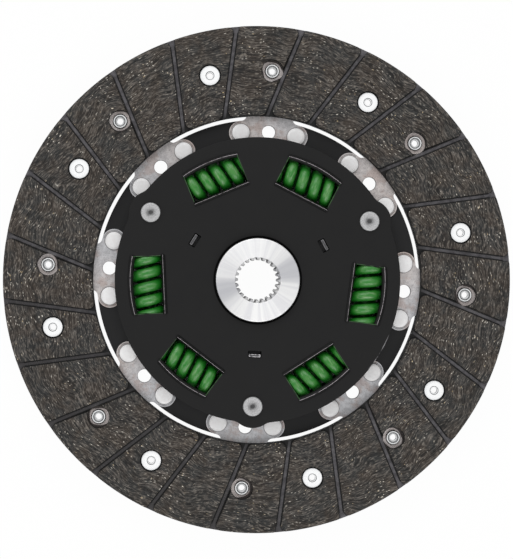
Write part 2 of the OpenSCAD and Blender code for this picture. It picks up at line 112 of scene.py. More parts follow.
spring_turns = (-7.5, 62.5, 112.5, 182.5, 232.5, 302.5)
spring_phases = (153, 320, 242, 61, 269, 25)
spring_r = 51.8
spring_od = 16
wire_d = 5
window_l = 26.8
window_in = spring_r - 6.8
window_out = spring_r + 6.7
window_relief = 1.5
lip_l = window_l + 0.8
lip_h = 1.3

flange_t = 5
flange_r = spring_r + spring_od / 2 + 4.6
retainer_r = flange_r + 2.8
lobe_r = 10.2
lobe_blend_r = 8
pin_r = flange_r - 4.9
pin_turn = 27.7
pin_step = 120
pin_body_d = 8.8
pin_shank_d = 6.4
pin_head_d = 9.3
pin_head_t = 1.3
dimple_r = 0.9
twist_limit = 5

hub_r = 19.7
hub_front = 15.5
hub_rear = cad_low.z / MM
teeth = 24
spline_turn = 20.8
minor_r = 9.05
major_r = 10.65
bush_r = hub_r + 0.08
bush_t = 2.5
bush_flange_t = 1.6
ring_ir = hub_r + 1.8
ring_or = 33
ring_gap = 0.1
rear_ring_t = 1.1
front_ring_t = 1
thrust_t = 0.8
cone_t = 0.5
cone_h = 0.9
slot_size = (3.3, 6.2)
lug_circle_r = ring_or + 2
lug_out = lug_circle_r + slot_size[0] / 2 - 0.4
lug_t = 1.3
lug_w = 5.4

facing_z = (segment_t + wave_h) / 2
rear_z = -facing_z
rear_ring_z = rear_z + bush_flange_t
flange_z = rear_ring_z + rear_ring_t + ring_gap
front_ring_z = flange_z + flange_t + ring_gap
thrust_z = front_ring_z + front_ring_t
cone_z = thrust_z + thrust_t
retainer_z = cone_z + cone_h
spring_z = (rear_z + retainer_z) / 2

# How far a drawn arc may stray from its true circle
ARC_ERROR = 0.006
# Points that lie closer than this are one
TINY = 1e-5
# Where the strips of a rounded edge lie, as shares of its radius
ROUND_SHARES = (0, 0.29, 1)
# Sides of a rivet or pin
PIN_SIDES = 72
# Half the width of a space between spline teeth, as shares of the pitch: at the mouth, at the floor
SPACE_SHARES = (0.33, 0.16)

SEGMENT_TURNS = [segment_turn + k * segment_step for k in range(segment_count)]
PIN_TURNS = [pin_turn + k * pin_step for k in range(3)]
# Angle and distance from the axis of each facing rivet; two in front sit off the even pattern
FRONT_PLACES = [
    (front_rivet_turn + k * segment_step + late, facing_rivet_r - inward)
    for k in range(segment_count)
    for late, inward in [late_rivets.get(k, (0, 0))]
]
REAR_PLACES = [(rear_rivet_turn + k * segment_step, facing_rivet_r) for k in range(segment_count)]


def polar(radius, turn):
    """Point at a distance from the axis, at an angle in degrees."""
    return (radius * math.cos(math.radians(turn)), radius * math.sin(math.radians(turn)))


def angle_of(point):
    """Angle of a point round the axis, in degrees."""
    return math.degrees(math.atan2(point[1], point[0]))


def turned_by(points, turn):
    """Flat points turned round the axis."""
    c, s = polar(1, turn)
    return [(x * c - y * s, x * s + y * c) for x, y in points]


def arc(centre, radius, start, stop):
    """Points along an arc, fine enough for its radius; angles in degrees."""
    step = 2 * math.degrees(math.acos(1 - ARC_ERROR / max(radius, 4 * ARC_ERROR)))
    count = max(2, math.ceil(abs(stop - start) / min(step, 15)))
    spokes = [polar(radius, start + (stop - start) * i / count) for i in range(count + 1)]
    return [(centre[0] + x, centre[1] + y) for x, y in spokes]


def circle(radius, centre=(0, 0)):
    """Closed circle, anticlockwise."""
    return arc(centre, radius, 0, 360)[:-1]


def shank_hole(diameter, centre):
    """Hole round a rivet's or pin's shank."""
    return circle(diameter / 2 + shank_gap, centre)


def rounded_box(width, height, radius, centre):
    """Closed rectangle with rounded corners, anticlockwise."""
    x, y = width / 2 - radius, height / 2 - radius
    loop = []
    for cx, cy, turn in ((x, y, 0), (-x, y, 90), (-x, -y, 180), (x, -y, 270)):
        loop += arc((centre[0] + cx, centre[1] + cy), radius, turn, turn + 90)
    return loop


def offset_loop(points, distance):
    """Closed anticlockwise loop moved inwards by a distance, or outwards if it is negative."""
    kept = [p for i, p in enumerate(points) if math.dist(p, points[i - 1]) > TINY]
    moved = []
    for i, p in enumerate(kept):
        before, after = kept[i - 1], kept[(i + 1) % len(kept)]
        a = (Vector(p) - Vector(before)).normalized()
        b = (Vector(after) - Vector(p)).normalized()
        normal_a, normal_b = Vector((-a.y, a.x)), Vector((-b.y, b.x))
        bisector = (normal_a + normal_b).normalized()
        reach = distance / max(0.5, bisector.dot(normal_a))
        moved.append((p[0] + bisector.x * reach, p[1] + bisector.y * reach))
    return moved


class Drawing:
    """Flat loops that cut the plane into regions.

    depth is how far a loop's points lie inside a rounded edge.
    """

    def __init__(self):
        self.points = []
        self.faces = []
        self.names = []
        self.depths = []

    def add(self, name, loop, depth=None):
        first = len(self.points)
        self.points += [Vector(p) for p in loop]
        self.depths += [depth] * len(loop)
        self.faces.append(list(range(first, first + len(loop))))
        self.names.append(name)

    def outline(self, name, loop, edge, hole=False):
        """Adds a loop and, on its solid side, the strips of its rounded edge."""
        for share in ROUND_SHARES if edge else (0,):
            moved = offset_loop(loop, (-edge if hole else edge) * share)
            self.add(name if share == 0 else name + "_edge", moved, edge * share)


def round_drop(depth, edge):
    """How far a rounded edge lies below its face at a depth from the outline."""
    if depth is None or depth >= edge:
        return 0
    return edge - math.sqrt(edge * edge - (edge - depth) ** 2)


def terraced(name, drawing, level):
    """Solid mesh from a drawing.

    level(names, x, y) gives a region's low, high, low edge and high edge, or None in a gap.
    """
    points, _, faces, origins, _, covers = geometry.delaunay_2d_cdt(
        drawing.points, [], drawing.faces, 0, TINY, True
    )
    depths = []
    for origin in origins:
        known = [drawing.depths[i] for i in origin if drawing.depths[i] is not None]
        depths.append(min(known) if known else (None if origin else 0))
    mesh_points, mesh_faces, index, heights, sides = [], [], {}, {}, {}

    def vertex(i, z):
        key = (i, round(z, 5))
        if key not in index:
            index[key] = len(mesh_points)
            mesh_points.append((points[i][0], points[i][1], z))
            heights.setdefault(i, []).append(key[1])
        return index[key]

    for face, cover in zip(faces, covers):
        inside = frozenset(drawing.names[i] for i in cover)
        lows, highs = {}, {}
        for i in face:
            found = level(inside, points[i][0], points[i][1])
            if found is None:
                break
            low, high, low_edge, high_edge = found
            lows[i] = low + (round_drop(depths[i], low_edge) if low_edge else 0)
            highs[i] = high - (round_drop(depths[i], high_edge) if high_edge else 0)
        if len(lows) < len(face):
            continue
        mesh_faces.append([vertex(i, highs[i]) for i in face])
        mesh_faces.append([vertex(i, lows[i]) for i in reversed(face)])
        for k, i in enumerate(face):
            j = face[(k + 1) % len(face)]
            sides[(i, j)] = (lows[i], highs[i], lows[j], highs[j])

    def upright(i, low, high):
        """Every corner that any face has on the upright edge at point i, from low to high."""
        between = [z for z in heights[i] if low + 2 * TINY < z < high - 2 * TINY]
        return [vertex(i, z) for z in [low, *sorted(between), max(low, high)]]

    for (i, j), own in sides.items():
        mesh_faces += wall(upright, i, j, own, sides.get((j, i)))
    return solid(name, mesh_points, mesh_faces)


def wall(upright, i, j, own, other):
    """Faces that close the step between a region's side and its neighbour's."""
    low_i, high_i, low_j, high_j = own
    spans = [((low_i, high_i), (low_j, high_j))]
    if other:
        other_low_j, other_high_j, other_low_i, other_high_i = other
        spans = [
            ((other_high_i, high_i), (other_high_j, high_j)),
            ((low_i, other_low_i), (low_j, other_low_j)),
        ]
    made = []
    for (a, b), (c, d) in spans:
        if max(b - a, d - c) < 10 * TINY:
            continue
        ring = upright(i, a, b)[::-1] + upright(j, c, d)
        ring = [v for k, v in enumerate(ring) if v != ring[k - 1]]
        if len(ring) > 2:
            made.append(ring)
    return made


def solid(name, points, faces, sharp=50):
    """Object in metres from points in millimetres, smooth apart from its sharp edges."""
    mesh = bpy.data.meshes.new(name)
    mesh.from_pydata([Vector(p) * MM for p in points], [], faces)
    mesh.validate()
    mesh.update()
    mesh.shade_smooth()
    mesh.set_sharp_from_angle(angle=math.radians(sharp))
    made = bpy.data.objects.new(name, mesh)
    bpy.context.scene.collection.objects.link(made)
    weighted = made.modifiers.new("even shading", "WEIGHTED_NORMAL")
    weighted.keep_sharp = True
    weighted.weight = 80
    return made


def round_profile(corners):
    """Closed (r, z) profile whose corners are arcs. Each corner is (r, z, radius)."""
    loop = []
    for i, (r, z, radius) in enumerate(corners):
        if not radius:
            loop.append((r, z))
            continue
        here = Vector((r, z))
        before = (Vector(corners[i - 1][:2]) - here).normalized()
        after = (Vector(corners[(i + 1) % len(corners)][:2]) - here).normalized()
        half = math.acos(max(-1, min(1, before.dot(after)))) / 2
        back = radius / math.tan(half)
        centre = here + (before + after).normalized() * (radius / math.sin(half))
        start, stop = here + before * back - centre, here + after * back - centre
        sweep = start.angle_signed(stop)
        for k in range(5):
            loop.append(tuple(centre + Matrix.Rotation(-sweep * k / 4, 2) @ start))
    return loop


def lathe(corners, centre=(0, 0), steps=None):
    """Points and faces of a turned part.

    Profile corners are (r, z, radius), and the profile is closed unless it meets the axis.
    """
    profile = round_profile(corners)
    steps = steps or max(48, len(circle(max(r for r, _ in profile))))
    points, faces, rows = [], [], []
    for r, z in profile:
        count = steps if r > TINY else 1
        rows.append((len(points), count))
        for k in range(count):
            x, y = polar(r, 360 * k / steps)
            points.append((x + centre[0], y + centre[1], z))
    for (a, count_a), (b, count_b) in zip(rows, rows[1:] + rows[:1]):
        if count_a == 1 and count_b == 1:
            continue
        for k in range(steps):
            n = (k + 1) % steps
            ring = [a + k % count_a, a + n % count_a, b + n % count_b, b + k % count_b]
            faces.append([v for i, v in enumerate(ring) if v != ring[i - 1]])
    return points, faces


def strip(first, second, count):
    """Faces between two closed rows of points, given by the rows' numbers."""
    a, b = first * count, second * count
    around = [(k, (k + 1) % count) for k in range(count)]
    return [[a + k, b + k, b + n, a + n] for k, n in around]


def gathered(parts):
    """One list of points and faces from several."""
    points, faces = [], []
    for more_points, more_faces in parts:
        first = len(points)
        points += more_points
        faces += [[first + i for i in face] for face in more_faces]
    return points, faces


def flipped(points):
    """Points of a front part turned over to the rear side."""
    turned = turned_by([(x, -y) for x, y, _ in points], flip_turn)
    return [(x, y, -p[2]) for (x, y), p in zip(turned, points)]


def flipped_places(places):
    """The same places seen from the other side of the disc."""
    return [(flip_turn - turn, radius) for turn, radius in places]


class Value:
    """A node's output. Arithmetic on it adds Math nodes."""

    def __init__(self, nodes, socket):
        self.nodes = nodes
        self.socket = socket

    def math(self, operation, *others):
        return self.nodes.math(operation, self, *others)

    def __add__(self, other):
        return self.math("ADD", other)

    __radd__ = __add__

    def __mul__(self, other):
        return self.math("MULTIPLY", other)

    __rmul__ = __mul__

    def __sub__(self, other):
        return self.math("SUBTRACT", other)

    def __rsub__(self, other):
        return self.nodes.math("SUBTRACT", other, self)

    def __truediv__(self, other):
        return self.math("DIVIDE", other)

    def __rtruediv__(self, other):
        return self.nodes.math("DIVIDE", other, self)

    def __abs__(self):
        return self.math("ABSOLUTE")


class Nodes:
    """Node tree of a material or world. node() adds any node: its settings, then its inputs."""

    def __init__(self, owner):
        owner.use_nodes = True
        self.tree = owner.node_tree
        self.tree.nodes.clear()

    def node(self, kind, settings=None, inputs=None, output=0):
        made = self.tree.nodes.new("ShaderNode" + kind)
        for key, value in (settings or {}).items():
            setattr(made, key, value)
        for key, value in (inputs or {}).items():
            if isinstance(value, Value):
                self.tree.links.new(value.socket, made.inputs[key])
            else:
                made.inputs[key].default_value = value
        return Value(self, made.outputs[output] if len(made.outputs) else None)

    def math(self, operation, *values):
        return self.node("Math", {"operation": operation}, dict(enumerate(values)))


class Finish(Nodes):
    """A material. base is its colour so far, and lay() puts the next colour over it.

    Colours are the 0 to 255 values of a colour chart, and lengths are in metres.
    """

    def __init__(self, name):
        self.material = bpy.data.materials.new(name)
        super().__init__(self.material)

    @cached_property
    def place(self):
        """Point on the object."""
        return self.node("TexCoord", output="Object")

    @cached_property
    def xyz(self):
        return self.parts(self.place)

    @cached_property
    def radius(self):
        """Distance from the axis."""
        return self.length(*self.xyz[:2])

    @cached_property
    def angle(self):
        """Angle round the axis, in radians."""
        x, y, _ = self.xyz
        return y.math("ARCTAN2", x)

    def parts(self, vector):
        """The X, Y and Z of a vector."""
        separate = self.node("SeparateXYZ", inputs={0: vector}).socket.node
        return [Value(self, output) for output in separate.outputs]

    def vector(self, x, y, z):
        return self.node("CombineXYZ", inputs={0: x, 1: y, 2: z})

    def length(self, x, y):
        return (x * x + y * y).math("SQRT")

    def ramp(self, value, start, stop):
        """0 at start, 1 at stop, and smooth between."""
        settings = {"interpolation_type": "SMOOTHSTEP"}
        return self.node("MapRange", settings, {0: value, 1: start, 2: stop, 3: 0.0, 4: 1.0})

    def past(self, length, low, high):
        """0 up to low and 1 from high on, both in millimetres."""
        return self.ramp(length, low * MM, high * MM)

    def within(self, length, low, high):
        """1 up to low and 0 from high on, both in millimetres."""
        return 1 - self.past(length, low, high)

    def noise(self, scale, detail=2, roughness=0.5, at=None):
        inputs = {"Scale": scale, "Detail": detail, "Roughness": roughness}
        return self.node("TexNoise", inputs={"Vector": at or self.place, **inputs})

    def spots(self, scale, start, stop, detail=2, roughness=0.5):
        """Patches of noise, 0 at start and 1 at stop."""
        return self.ramp(self.noise(scale, detail, roughness), start, stop)

    def mix(self, share, a, b):
        """Colour a where share is 0 and b where it is 1."""
        a, b = (colour if isinstance(colour, Value) else paint(*colour) for colour in (a, b))
        return self.node("Mix", {"data_type": "RGBA"}, {0: share, 6: a, 7: b}, 2)

    def lay(self, share, colour):
        self.base = self.mix(share, self.base, colour)

    def past_line(self, angle, count, turn):
        """Angle past the nearest of count lines that stand evenly round the disc."""
        half = math.pi / count
        return (angle - math.radians(turn)).math("WRAP", half, -half)

    def out(self, count, turn):
        """Distance out along the nearest of count lines."""
        return self.past_line(self.angle, count, turn).math("COSINE") * self.radius

    def across(self, count, turn):
        """Distance across from the nearest of count lines."""
        return self.past_line(self.angle, count, turn).math("SINE") * self.radius

    def from_axes(self, count, turn, reach):
        """Distance from the nearest of count axes that stand reach millimetres out."""
        return self.length(self.out(count, turn) - reach * MM, self.across(count, turn))

    def along_spring(self):
        """Distance along the nearest spring from its middle."""
        one, other = (self.across(3, turn) for turn in spring_turns[:2])
        return other + (one - other) * abs(one).math("LESS_THAN", abs(other))

    def towards(self, turn):
        """1 on the line at an angle in degrees, and less away from it."""
        x, y, _ = self.xyz
        to_x, to_y = polar(1, turn)
        return (x * to_x + y * to_y) / self.radius

    def round_disc(self, scale, third):
        """Place in a pattern that runs round the disc."""
        x, y, _ = self.xyz
        return self.vector(x / self.radius * scale, y / self.radius * scale, third)

    def steep(self, wall=0.3, flat=0.65):
        """1 on walls, 0 on faces that look along the axis."""
        normal = self.node("NewGeometry", output="Normal")
        return 1 - self.ramp(abs(self.parts(normal)[2]), wall, flat)

    def surface(self, roughness, height, depth, **others):
        """Closes the tree with one Principled shader and a relief. Names use _ for a space."""
        relief = self.node("Bump", inputs={"Height": height, "Distance": depth, "Strength": 1.0})
        inputs = {"Base Color": self.base, "Roughness": roughness, "Normal": relief}
        inputs.update({key.replace("_", " "): value for key, value in others.items()})
        shader = self.node("BsdfPrincipled", inputs=inputs)
        self.node("OutputMaterial", inputs={"Surface": shader})
        return self.material


def paint(red, green, blue):
    """Linear colour from the 0 to 255 values of a colour chart."""
    def linear(c):
        return ((c / 255 + 0.055) / 1.055) ** 2.4 if c > 10 else c / 255 / 12.92

    return (linear(red), linear(green), linear(blue), 1)


def groove_distance(f):
    """Distance from the middle of the nearest groove, on either facing."""
    lean = (groove_offset * MM / f.radius).math("ARCSINE")
    front = f.xyz[2].math("SIGN")
    angle = f.angle * front + (1 - front) * math.radians(flip_turn / 2)
    past = f.past_line(angle - lean, groove_count, groove_turn)
    return abs((lean + past).math("SINE") * f.radius - groove_offset * MM)


def flecks(f, vector, share):
    """Short bright shreds in a few cells of a pattern: where they are, and a tint for each."""
    inputs = {"Vector": vector, "Scale": 1.0}
    near = f.node("TexVoronoi", inputs=inputs, output="Distance")
    pick, tint, _ = f.parts(f.node("TexVoronoi", inputs=inputs, output="Color"))
    return (1 - f.ramp(near, 0.1, 0.42)) * f.ramp(pick, 1 - share, 1.01 - share), tint


def friction_lining():
    """Pressed yarn in resin: wavy strands round the disc, brass shreds, smooth groove floors, with
    painted shade in the grooves, on the recess ledges, on its walls and at its bore.
    """
    f = Finish("friction_lining")
    x, y, z = f.xyz
    across = f.radius + (f.noise(50, 1) * 0.013 + f.noise(150, 1) * 0.0015)

    def strand(length, width, level, detail=1.0):
        """Noise drawn out round the disc. Each level is another pattern."""
        return f.noise(1, detail, 0.6, f.round_disc(0.1 / length, (across + level) / width))

    yarn = strand(0.0105, 0.00095, 0.0)
    hair = 1 - f.ramp(abs(strand(0.012, 0.0009, 0.2, 0.0) - 0.5), 0.004, 0.04)
    grit = strand(0.0019, 0.0005, 0.4, 2.0)
    loose = 1 - f.ramp(abs(f.noise(330, 1) - 0.5), 0.002, 0.024)
    bundles = f.spots(210, 0.38, 0.64)
    f.base = f.mix(f.spots(110, 0.35, 0.65, 2, 0.6), (46, 47, 47), (57, 50, 44))
    f.lay(f.ramp(yarn, 0.55, 0.3) * 0.75, (24, 22, 21))
    f.lay(f.ramp(yarn, 0.52, 0.8) * (bundles * 0.5 + 0.3), (106, 100, 94))
    f.lay(hair * (bundles * 0.35 + 0.2), (128, 120, 113))
    f.lay(loose * f.spots(260, 0.5, 0.68, 1) * 0.3, (140, 131, 123))
    f.lay(f.ramp(grit, 0.52, 0.76) * 0.68, (138, 131, 122))
    f.lay(f.ramp(grit, 0.5, 0.25) * 0.82, (11, 10, 10))

    long_ones, long_tint = flecks(f, f.round_disc(62, across / 0.00046), 0.12)
    cells = f.node("VectorMath", {"operation": "SCALE"}, {0: f.place, 3: 1300.0})
    short_ones, short_tint = flecks(f, cells, 0.035)
    shred = (long_ones + short_ones).math("MINIMUM", 1.0) * f.spots(85, 0.32, 0.62)
    brass = f.mix(f.ramp(long_tint + short_tint, 0.2, 0.9), (226, 200, 152), (232, 226, 214))
    f.lay(shred * 0.95, brass)

    # Painted shade: the groove floors turn darker towards the lower left.
    dull = f.ramp(x + y + f.noise(90, 1) * 0.03, -0.115, -0.06)
    swept = f.mix(f.spots(420, 0.35, 0.65, 3), (68, 66, 69), (92, 90, 93))
    smooth = f.mix(dull, (62, 60, 61), swept)
    smooth = f.mix(hair * bundles * 0.25, smooth, (120, 116, 112))
    # Painted shade: groove floors darkened along both walls (beside) and at the grooves' inner ends
    # (inner_end).
    gap = groove_distance(f) + f.noise(700) * 0.0003
    beside = f.past(gap, groove_w / 2 - 0.45, groove_w / 2 - 0.1)
    beside = beside * f.within(f.radius, facing_or - pad_lead_r - 1, facing_or - pad_lead_r)
    # Painted shade on the recess ledges where the rivet heads sit.
    ledge_z = facing_z + facing_ledge_t
    smooth = f.mix(f.within(abs(z), ledge_z + 0.2, ledge_z + 0.3) * 0.9, smooth, (8, 7, 7))
    inner_end = f.within(f.radius, facing_ir + 1.2, facing_ir + 5)
    smooth = f.mix(beside * 0.95 + inner_end * 0.6, smooth, (6, 6, 6))
    floor_z = facing_z + facing_t - groove_depth
    ground = f.within(abs(z), floor_z + 0.1, floor_z + 0.2)
    f.lay(ground, smooth)

    # Painted shade: near-black on the lining's walls and along its bore edge.
    bore_edge = f.within(f.radius + f.noise(600) * 0.0006, facing_ir + 0.5, facing_ir + 1.3)
    f.lay((f.steep(0.75, 0.985) + bore_edge * 0.75).math("MINIMUM", 0.95), (8, 8, 8))
    height = yarn * 0.6 + hair * bundles * 0.3 + grit * 0.6 + shred * 0.3
    rough = 0.8 - shred * 0.4 - ground * 0.15
    return f.surface(rough, height * (1 - ground), 0.0002, Specular_IOR_Level=0.35)


def zinc_rivet():
    """Bright zinc with a soft bloom."""
    f = Finish("bright_zinc")
    bloom = f.noise(900, 3)
    f.base = f.mix(bloom, (250, 252, 253), (255, 255, 255))
    # Painted shade on the rivets' sloping and upright faces.
    f.lay(f.steep(0.5, 0.93) * 0.85, (70, 74, 76))
    return f.surface(0.4 + bloom * 0.16, f.noise(5200), 0.00001, Metallic=0.1)


def plate_rivet_steel():
    """Pale matt rivet steel, with painted shade down its sides."""
    f = Finish("pale_rivet_steel")
    cloud = f.noise(700, 4, 0.6)
    f.base = f.mix(f.ramp(cloud, 0.3, 0.7), (250, 248, 248), (255, 255, 255))
    # Painted shade down the rivets' sides.
    f.lay(f.steep() * 0.7, (120, 116, 116))
    return f.surface(0.5 + cloud * 0.14, f.noise(3200, 3), 0.00001, Specular_IOR_Level=1.0)


def spring_steel_sheet():
    """Rolled sheet of the cushion segments: speckled, stained, warm grey and blue grey, with
    painted shade round its holes, heads and edges, and painted light deep in the facing's holes.
    """
    f = Finish("rolled_spring_steel")
    cloud = f.noise(420, 3, 0.6)
    speckle = f.noise(1700, 2, 0.7)
    light = f.ramp(cloud, 0.3, 0.7)
    warm = f.mix(light, (206, 199, 197), (232, 225, 222))
    cool = f.mix(light, (200, 200, 203), (226, 226, 229))
    f.base = f.mix(f.spots(9, 0.42, 0.58, 1), warm, cool)
    f.lay(f.ramp(speckle, 0.5, 0.25) * 0.5, (120, 118, 120))
    f.lay(f.spots(700, 0.58, 0.74, 4, 0.7) * 0.4, (104, 102, 106))
    rusty = f.spots(130, 0.48, 0.62, 3, 0.6)
    f.lay(rusty * 0.4, (186, 158, 146))
    f.lay(rusty * f.spots(1500, 0.58, 0.68, 3, 0.7) * 0.6, (70, 56, 52))

    hole_r = sight_hole_d / 2
    # Painted shade round the sight holes' edges.
    to_hole = f.from_axes(segment_count, segment_turn, foot_r)
    hole = f.within(to_hole, hole_r + 0.05, hole_r + 0.35)
    f.lay(hole * f.ramp(speckle, 0.35, 0.55) * 0.8, (34, 33, 34))
    head_r = plate_head_d / 2
    past = abs(f.past_line(f.angle, segment_count, segment_turn))
    beyond = past - math.radians(foot_rivet_turn)
    out = beyond.math("COSINE") * f.radius
    away = f.length(out - foot_r * MM, beyond.math("SINE") * f.radius)
    # A thin dark arc beyond each rivet towards the foot's end, and painted shadow just round each
    # head.
    ring = 1 - f.past(abs(away - (head_r + 0.65) * MM), 0.08, 0.22)
    head_shadow = f.within(away, head_r + 0.05, head_r + 0.35)
    f.lay(ring * f.ramp(beyond, -0.01, 0.01) * 0.6 + head_shadow * 0.7, (44, 43, 45))

    front_hole = f.from_axes(segment_count, rear_rivet_turn, facing_rivet_r)
    rear_hole = f.from_axes(segment_count, front_rivet_turn, facing_rivet_r)
    to_rivet = front_hole.math("MINIMUM", rear_hole) + (f.noise(110, 1) - 0.5) * 0.006
    # Painted light: the steel deep in the facing's holes is lifted to a warm near-white.
    paddle = f.past(f.radius, facing_ir, facing_ir + 1)
    f.lay(paddle * 0.6, (255, 243, 238))
    rivet_r = facing_head_d / 2
    # Painted shade: dark brown crescents round the edges of the facing's holes.
    f.lay(f.past(to_rivet, rivet_r - 0.2, rivet_r + 0.3) * paddle * 0.92, (34, 23, 20))
    # Painted shade along the facing's inner edge.
    edge = f.past(f.radius + f.noise(300) * 0.0005, facing_ir + 0.1, facing_ir + 0.7)
    f.lay(edge * (1 - paddle) * 0.85, (24, 17, 16))
    # Painted shade on sloping and upright faces.
    f.lay(f.steep() * 0.7, (70, 67, 67))
    return f.surface(0.4 + cloud * 0.2, speckle, 0.00003, Metallic=0.55)


def black_plate_coat():
    """Black phosphate: uncoated metal with a painted highlight on the lips' crests, a painted
    highlight on a stretch of the rim, green by the springs, painted shade on its walls, and a
    lighter black on the carrier plate as painted light.
    """
    f = Finish("black_phosphate")
    z = f.xyz[2]
    cloud = f.noise(140, 3)
    f.base = f.mix(cloud, (10, 10, 11), (15, 15, 15))
    # Painted light: the carrier plate, lying lower in shade, gets a lighter black.
    carrier = z.math("LESS_THAN", 0.0)
    f.lay(carrier, (31, 31, 32))
    # Lips' crests: uncoated metal with a painted highlight.
    front_crest = retainer_z + plate_t + lip_h
    rear_crest = rear_z - plate_t - lip_h
    near_front = f.past(z, front_crest - 0.08, front_crest - 0.03)
    near_rear = f.within(z, rear_crest + 0.03, rear_crest + 0.08)
    rubbed_and_highlit = (near_front + near_rear) * f.spots(500, 0.25, 0.5, 3)
    f.lay(rubbed_and_highlit * 0.9, (226, 216, 222))
    # Painted shade on walls.
    f.lay(f.steep(0.5, 0.68) * 0.8, (3, 3, 3))
    # Painted highlight along a stretch of the retainer's rim at the lower right.
    lower_right = f.ramp(f.towards(-31), 0.988, 0.996)
    rim = f.past(f.radius, retainer_r - 0.42, retainer_r - 0.2) * lower_right
    rim = rim * f.past(z, retainer_z + plate_t - 0.5, retainer_z + plate_t - 0.3)
    f.lay(rim * f.spots(300, 0.3, 0.6) * 0.8, (165, 163, 165))
    past_end = abs(f.along_spring()) - window_l / 2 * MM
    beside = f.within(abs(f.radius - (spring_r + 1.6) * MM), 5.9, 6.3)
    smear = f.past(past_end, -0.1, 0.0) * f.within(past_end, 0.2, 0.4) * beside
    f.lay(smear * f.spots(260, 0.3, 0.6) * 0.8, (66, 104, 62))
    rough = 0.5 + cloud * 0.1 - rubbed_and_highlit * 0.1
    return f.surface(rough, f.noise(2400, 3), 0.000016, Specular_IOR_Level=0.3)


def pin_end_steel():
    """Riveted pin heads, spun over: grey, with painted shade towards the centre's dimple and on
    their sides.
    """
    f = Finish("spun_pin_steel")
    cloud = f.noise(1700, 3, 0.7)
    f.base = f.mix(f.ramp(cloud, 0.3, 0.7), (170, 170, 171), (204, 204, 205))
    # Painted shade in the dished centre and round the dimple.
    from_middle = f.from_axes(3, pin_turn, pin_r) + (f.noise(900) - 0.5) * 0.0004
    f.lay(f.within(from_middle, 0.2, pin_shank_d / 2 + 0.1) * 0.85, (66, 66, 67))
    f.lay(f.within(from_middle, dimple_r, dimple_r + 0.3) * 0.6, (50, 50, 51))
    # Painted shade on sloping and upright faces.
    f.lay(f.steep() * 0.6, (80, 81, 83))
    return f.surface(0.42 + cloud * 0.15, f.noise(5200, 3), 0.00004, Metallic=0.5)


def green_spring_paint():
    """Dipped green enamel over wire, with a paler, streaked painted highlight along the top of the
    coils.
    """
    f = Finish("green_enamel")
    z = f.xyz[2]
    cloud = f.noise(420, 3)
    # Painted highlight: a paler, streaked band along the top of each coil.
    top_highlight = f.past(z, spring_z + 4.5, spring_z + spring_od / 2)
    drawn_out = f.vector(f.along_spring() * 900, f.radius * 160, z * 160)
    highlight_streaks = f.noise(1, 2, 0.6, drawn_out)
    deep = f.mix(cloud, (10, 100, 18), (24, 122, 28))
    highlight_tone = f.mix(f.ramp(cloud, 0.3, 0.7), (40, 128, 42), (84, 142, 72))
    f.base = f.mix(top_highlight * 0.6, deep, highlight_tone)
    f.lay(f.ramp(highlight_streaks, 0.5, 0.75) * f.ramp(top_highlight, 0.4, 1.0) * 0.4, (160, 184, 146))
    coat = {"Coat_Weight": 0.25, "Coat_Roughness": 0.2}
    return f.surface(0.34 + cloud * 0.12, f.noise(1500), 0.00003, **coat)


def turned_hub_steel():
    """Faced and turned steel: rings of the tool on the ends, broad painted rays of light across
    them, two opposite painted dark zones, and painted shade on its walls.
    """
    f = Finish("turned_steel")
    rays = f.noise(1, 3, 0.6, f.round_disc(6, 0.0))
    rings = f.noise(1, 2, 0.5, f.round_disc(0.6, f.radius * 9000))
    # Painted rays of light across the turned ends.
    bright = f.ramp(rays, 0.35, 0.65) * 0.7 + f.noise(180, 3) * 0.3
    f.base = f.mix(bright, (234, 234, 237), (255, 255, 254))
    # Painted shade: two darker zones opposite each other, round 17 and 197 degrees.
    f.lay(f.ramp(abs(f.towards(17)), 0.89, 1.0) * 0.7, (190, 191, 197))
    # Painted shade on the outer walls.
    f.lay(f.steep() * f.past(f.radius, 14, 16) * 0.85, (52, 52, 54))
    # Painted shade on the walls of the spline teeth and the mouth.
    teeth_walls = f.steep(0.6, 0.8) * f.within(f.radius, major_r + 0.15, major_r + 0.55)
    f.lay(teeth_walls * 0.5, (74, 74, 76))
    rough = 0.32 + rings * 0.08 + rays * 0.08
    brushed = {"Anisotropic": 0.6, "Anisotropic_Rotation": 0.25}
    return f.surface(rough, rings, 0.000008, Metallic=0.45, **brushed)


def dark_flange_steel():
    """Nitrided steel of the hub's flange: nearly black, with a faint grain."""
    f = Finish("nitrided_steel")
    cloud = f.noise(300, 3)
    f.base = f.mix(cloud, (20, 20, 21), (34, 34, 35))
    return f.surface(0.45 + cloud * 0.1, f.noise(2600), 0.00001, Metallic=0.6)


def moulded_bush():
    """Ivory plastic of the centring bush, faintly flowed."""
    f = Finish("ivory_bush_plastic")
    flow = f.noise(120, 3)
    f.base = f.mix(flow, (196, 182, 150), (214, 202, 172))
    return f.surface(0.45 + flow * 0.1, f.noise(1800), 0.00001)


def friction_washer():
    """Brown friction washer, grained."""
    f = Finish("brown_washer")
    grain = f.noise(1400, 4)
    f.base = f.mix(grain, (84, 66, 46), (124, 100, 72))
    return f.surface(0.7 + grain * 0.15, grain, 0.00004)


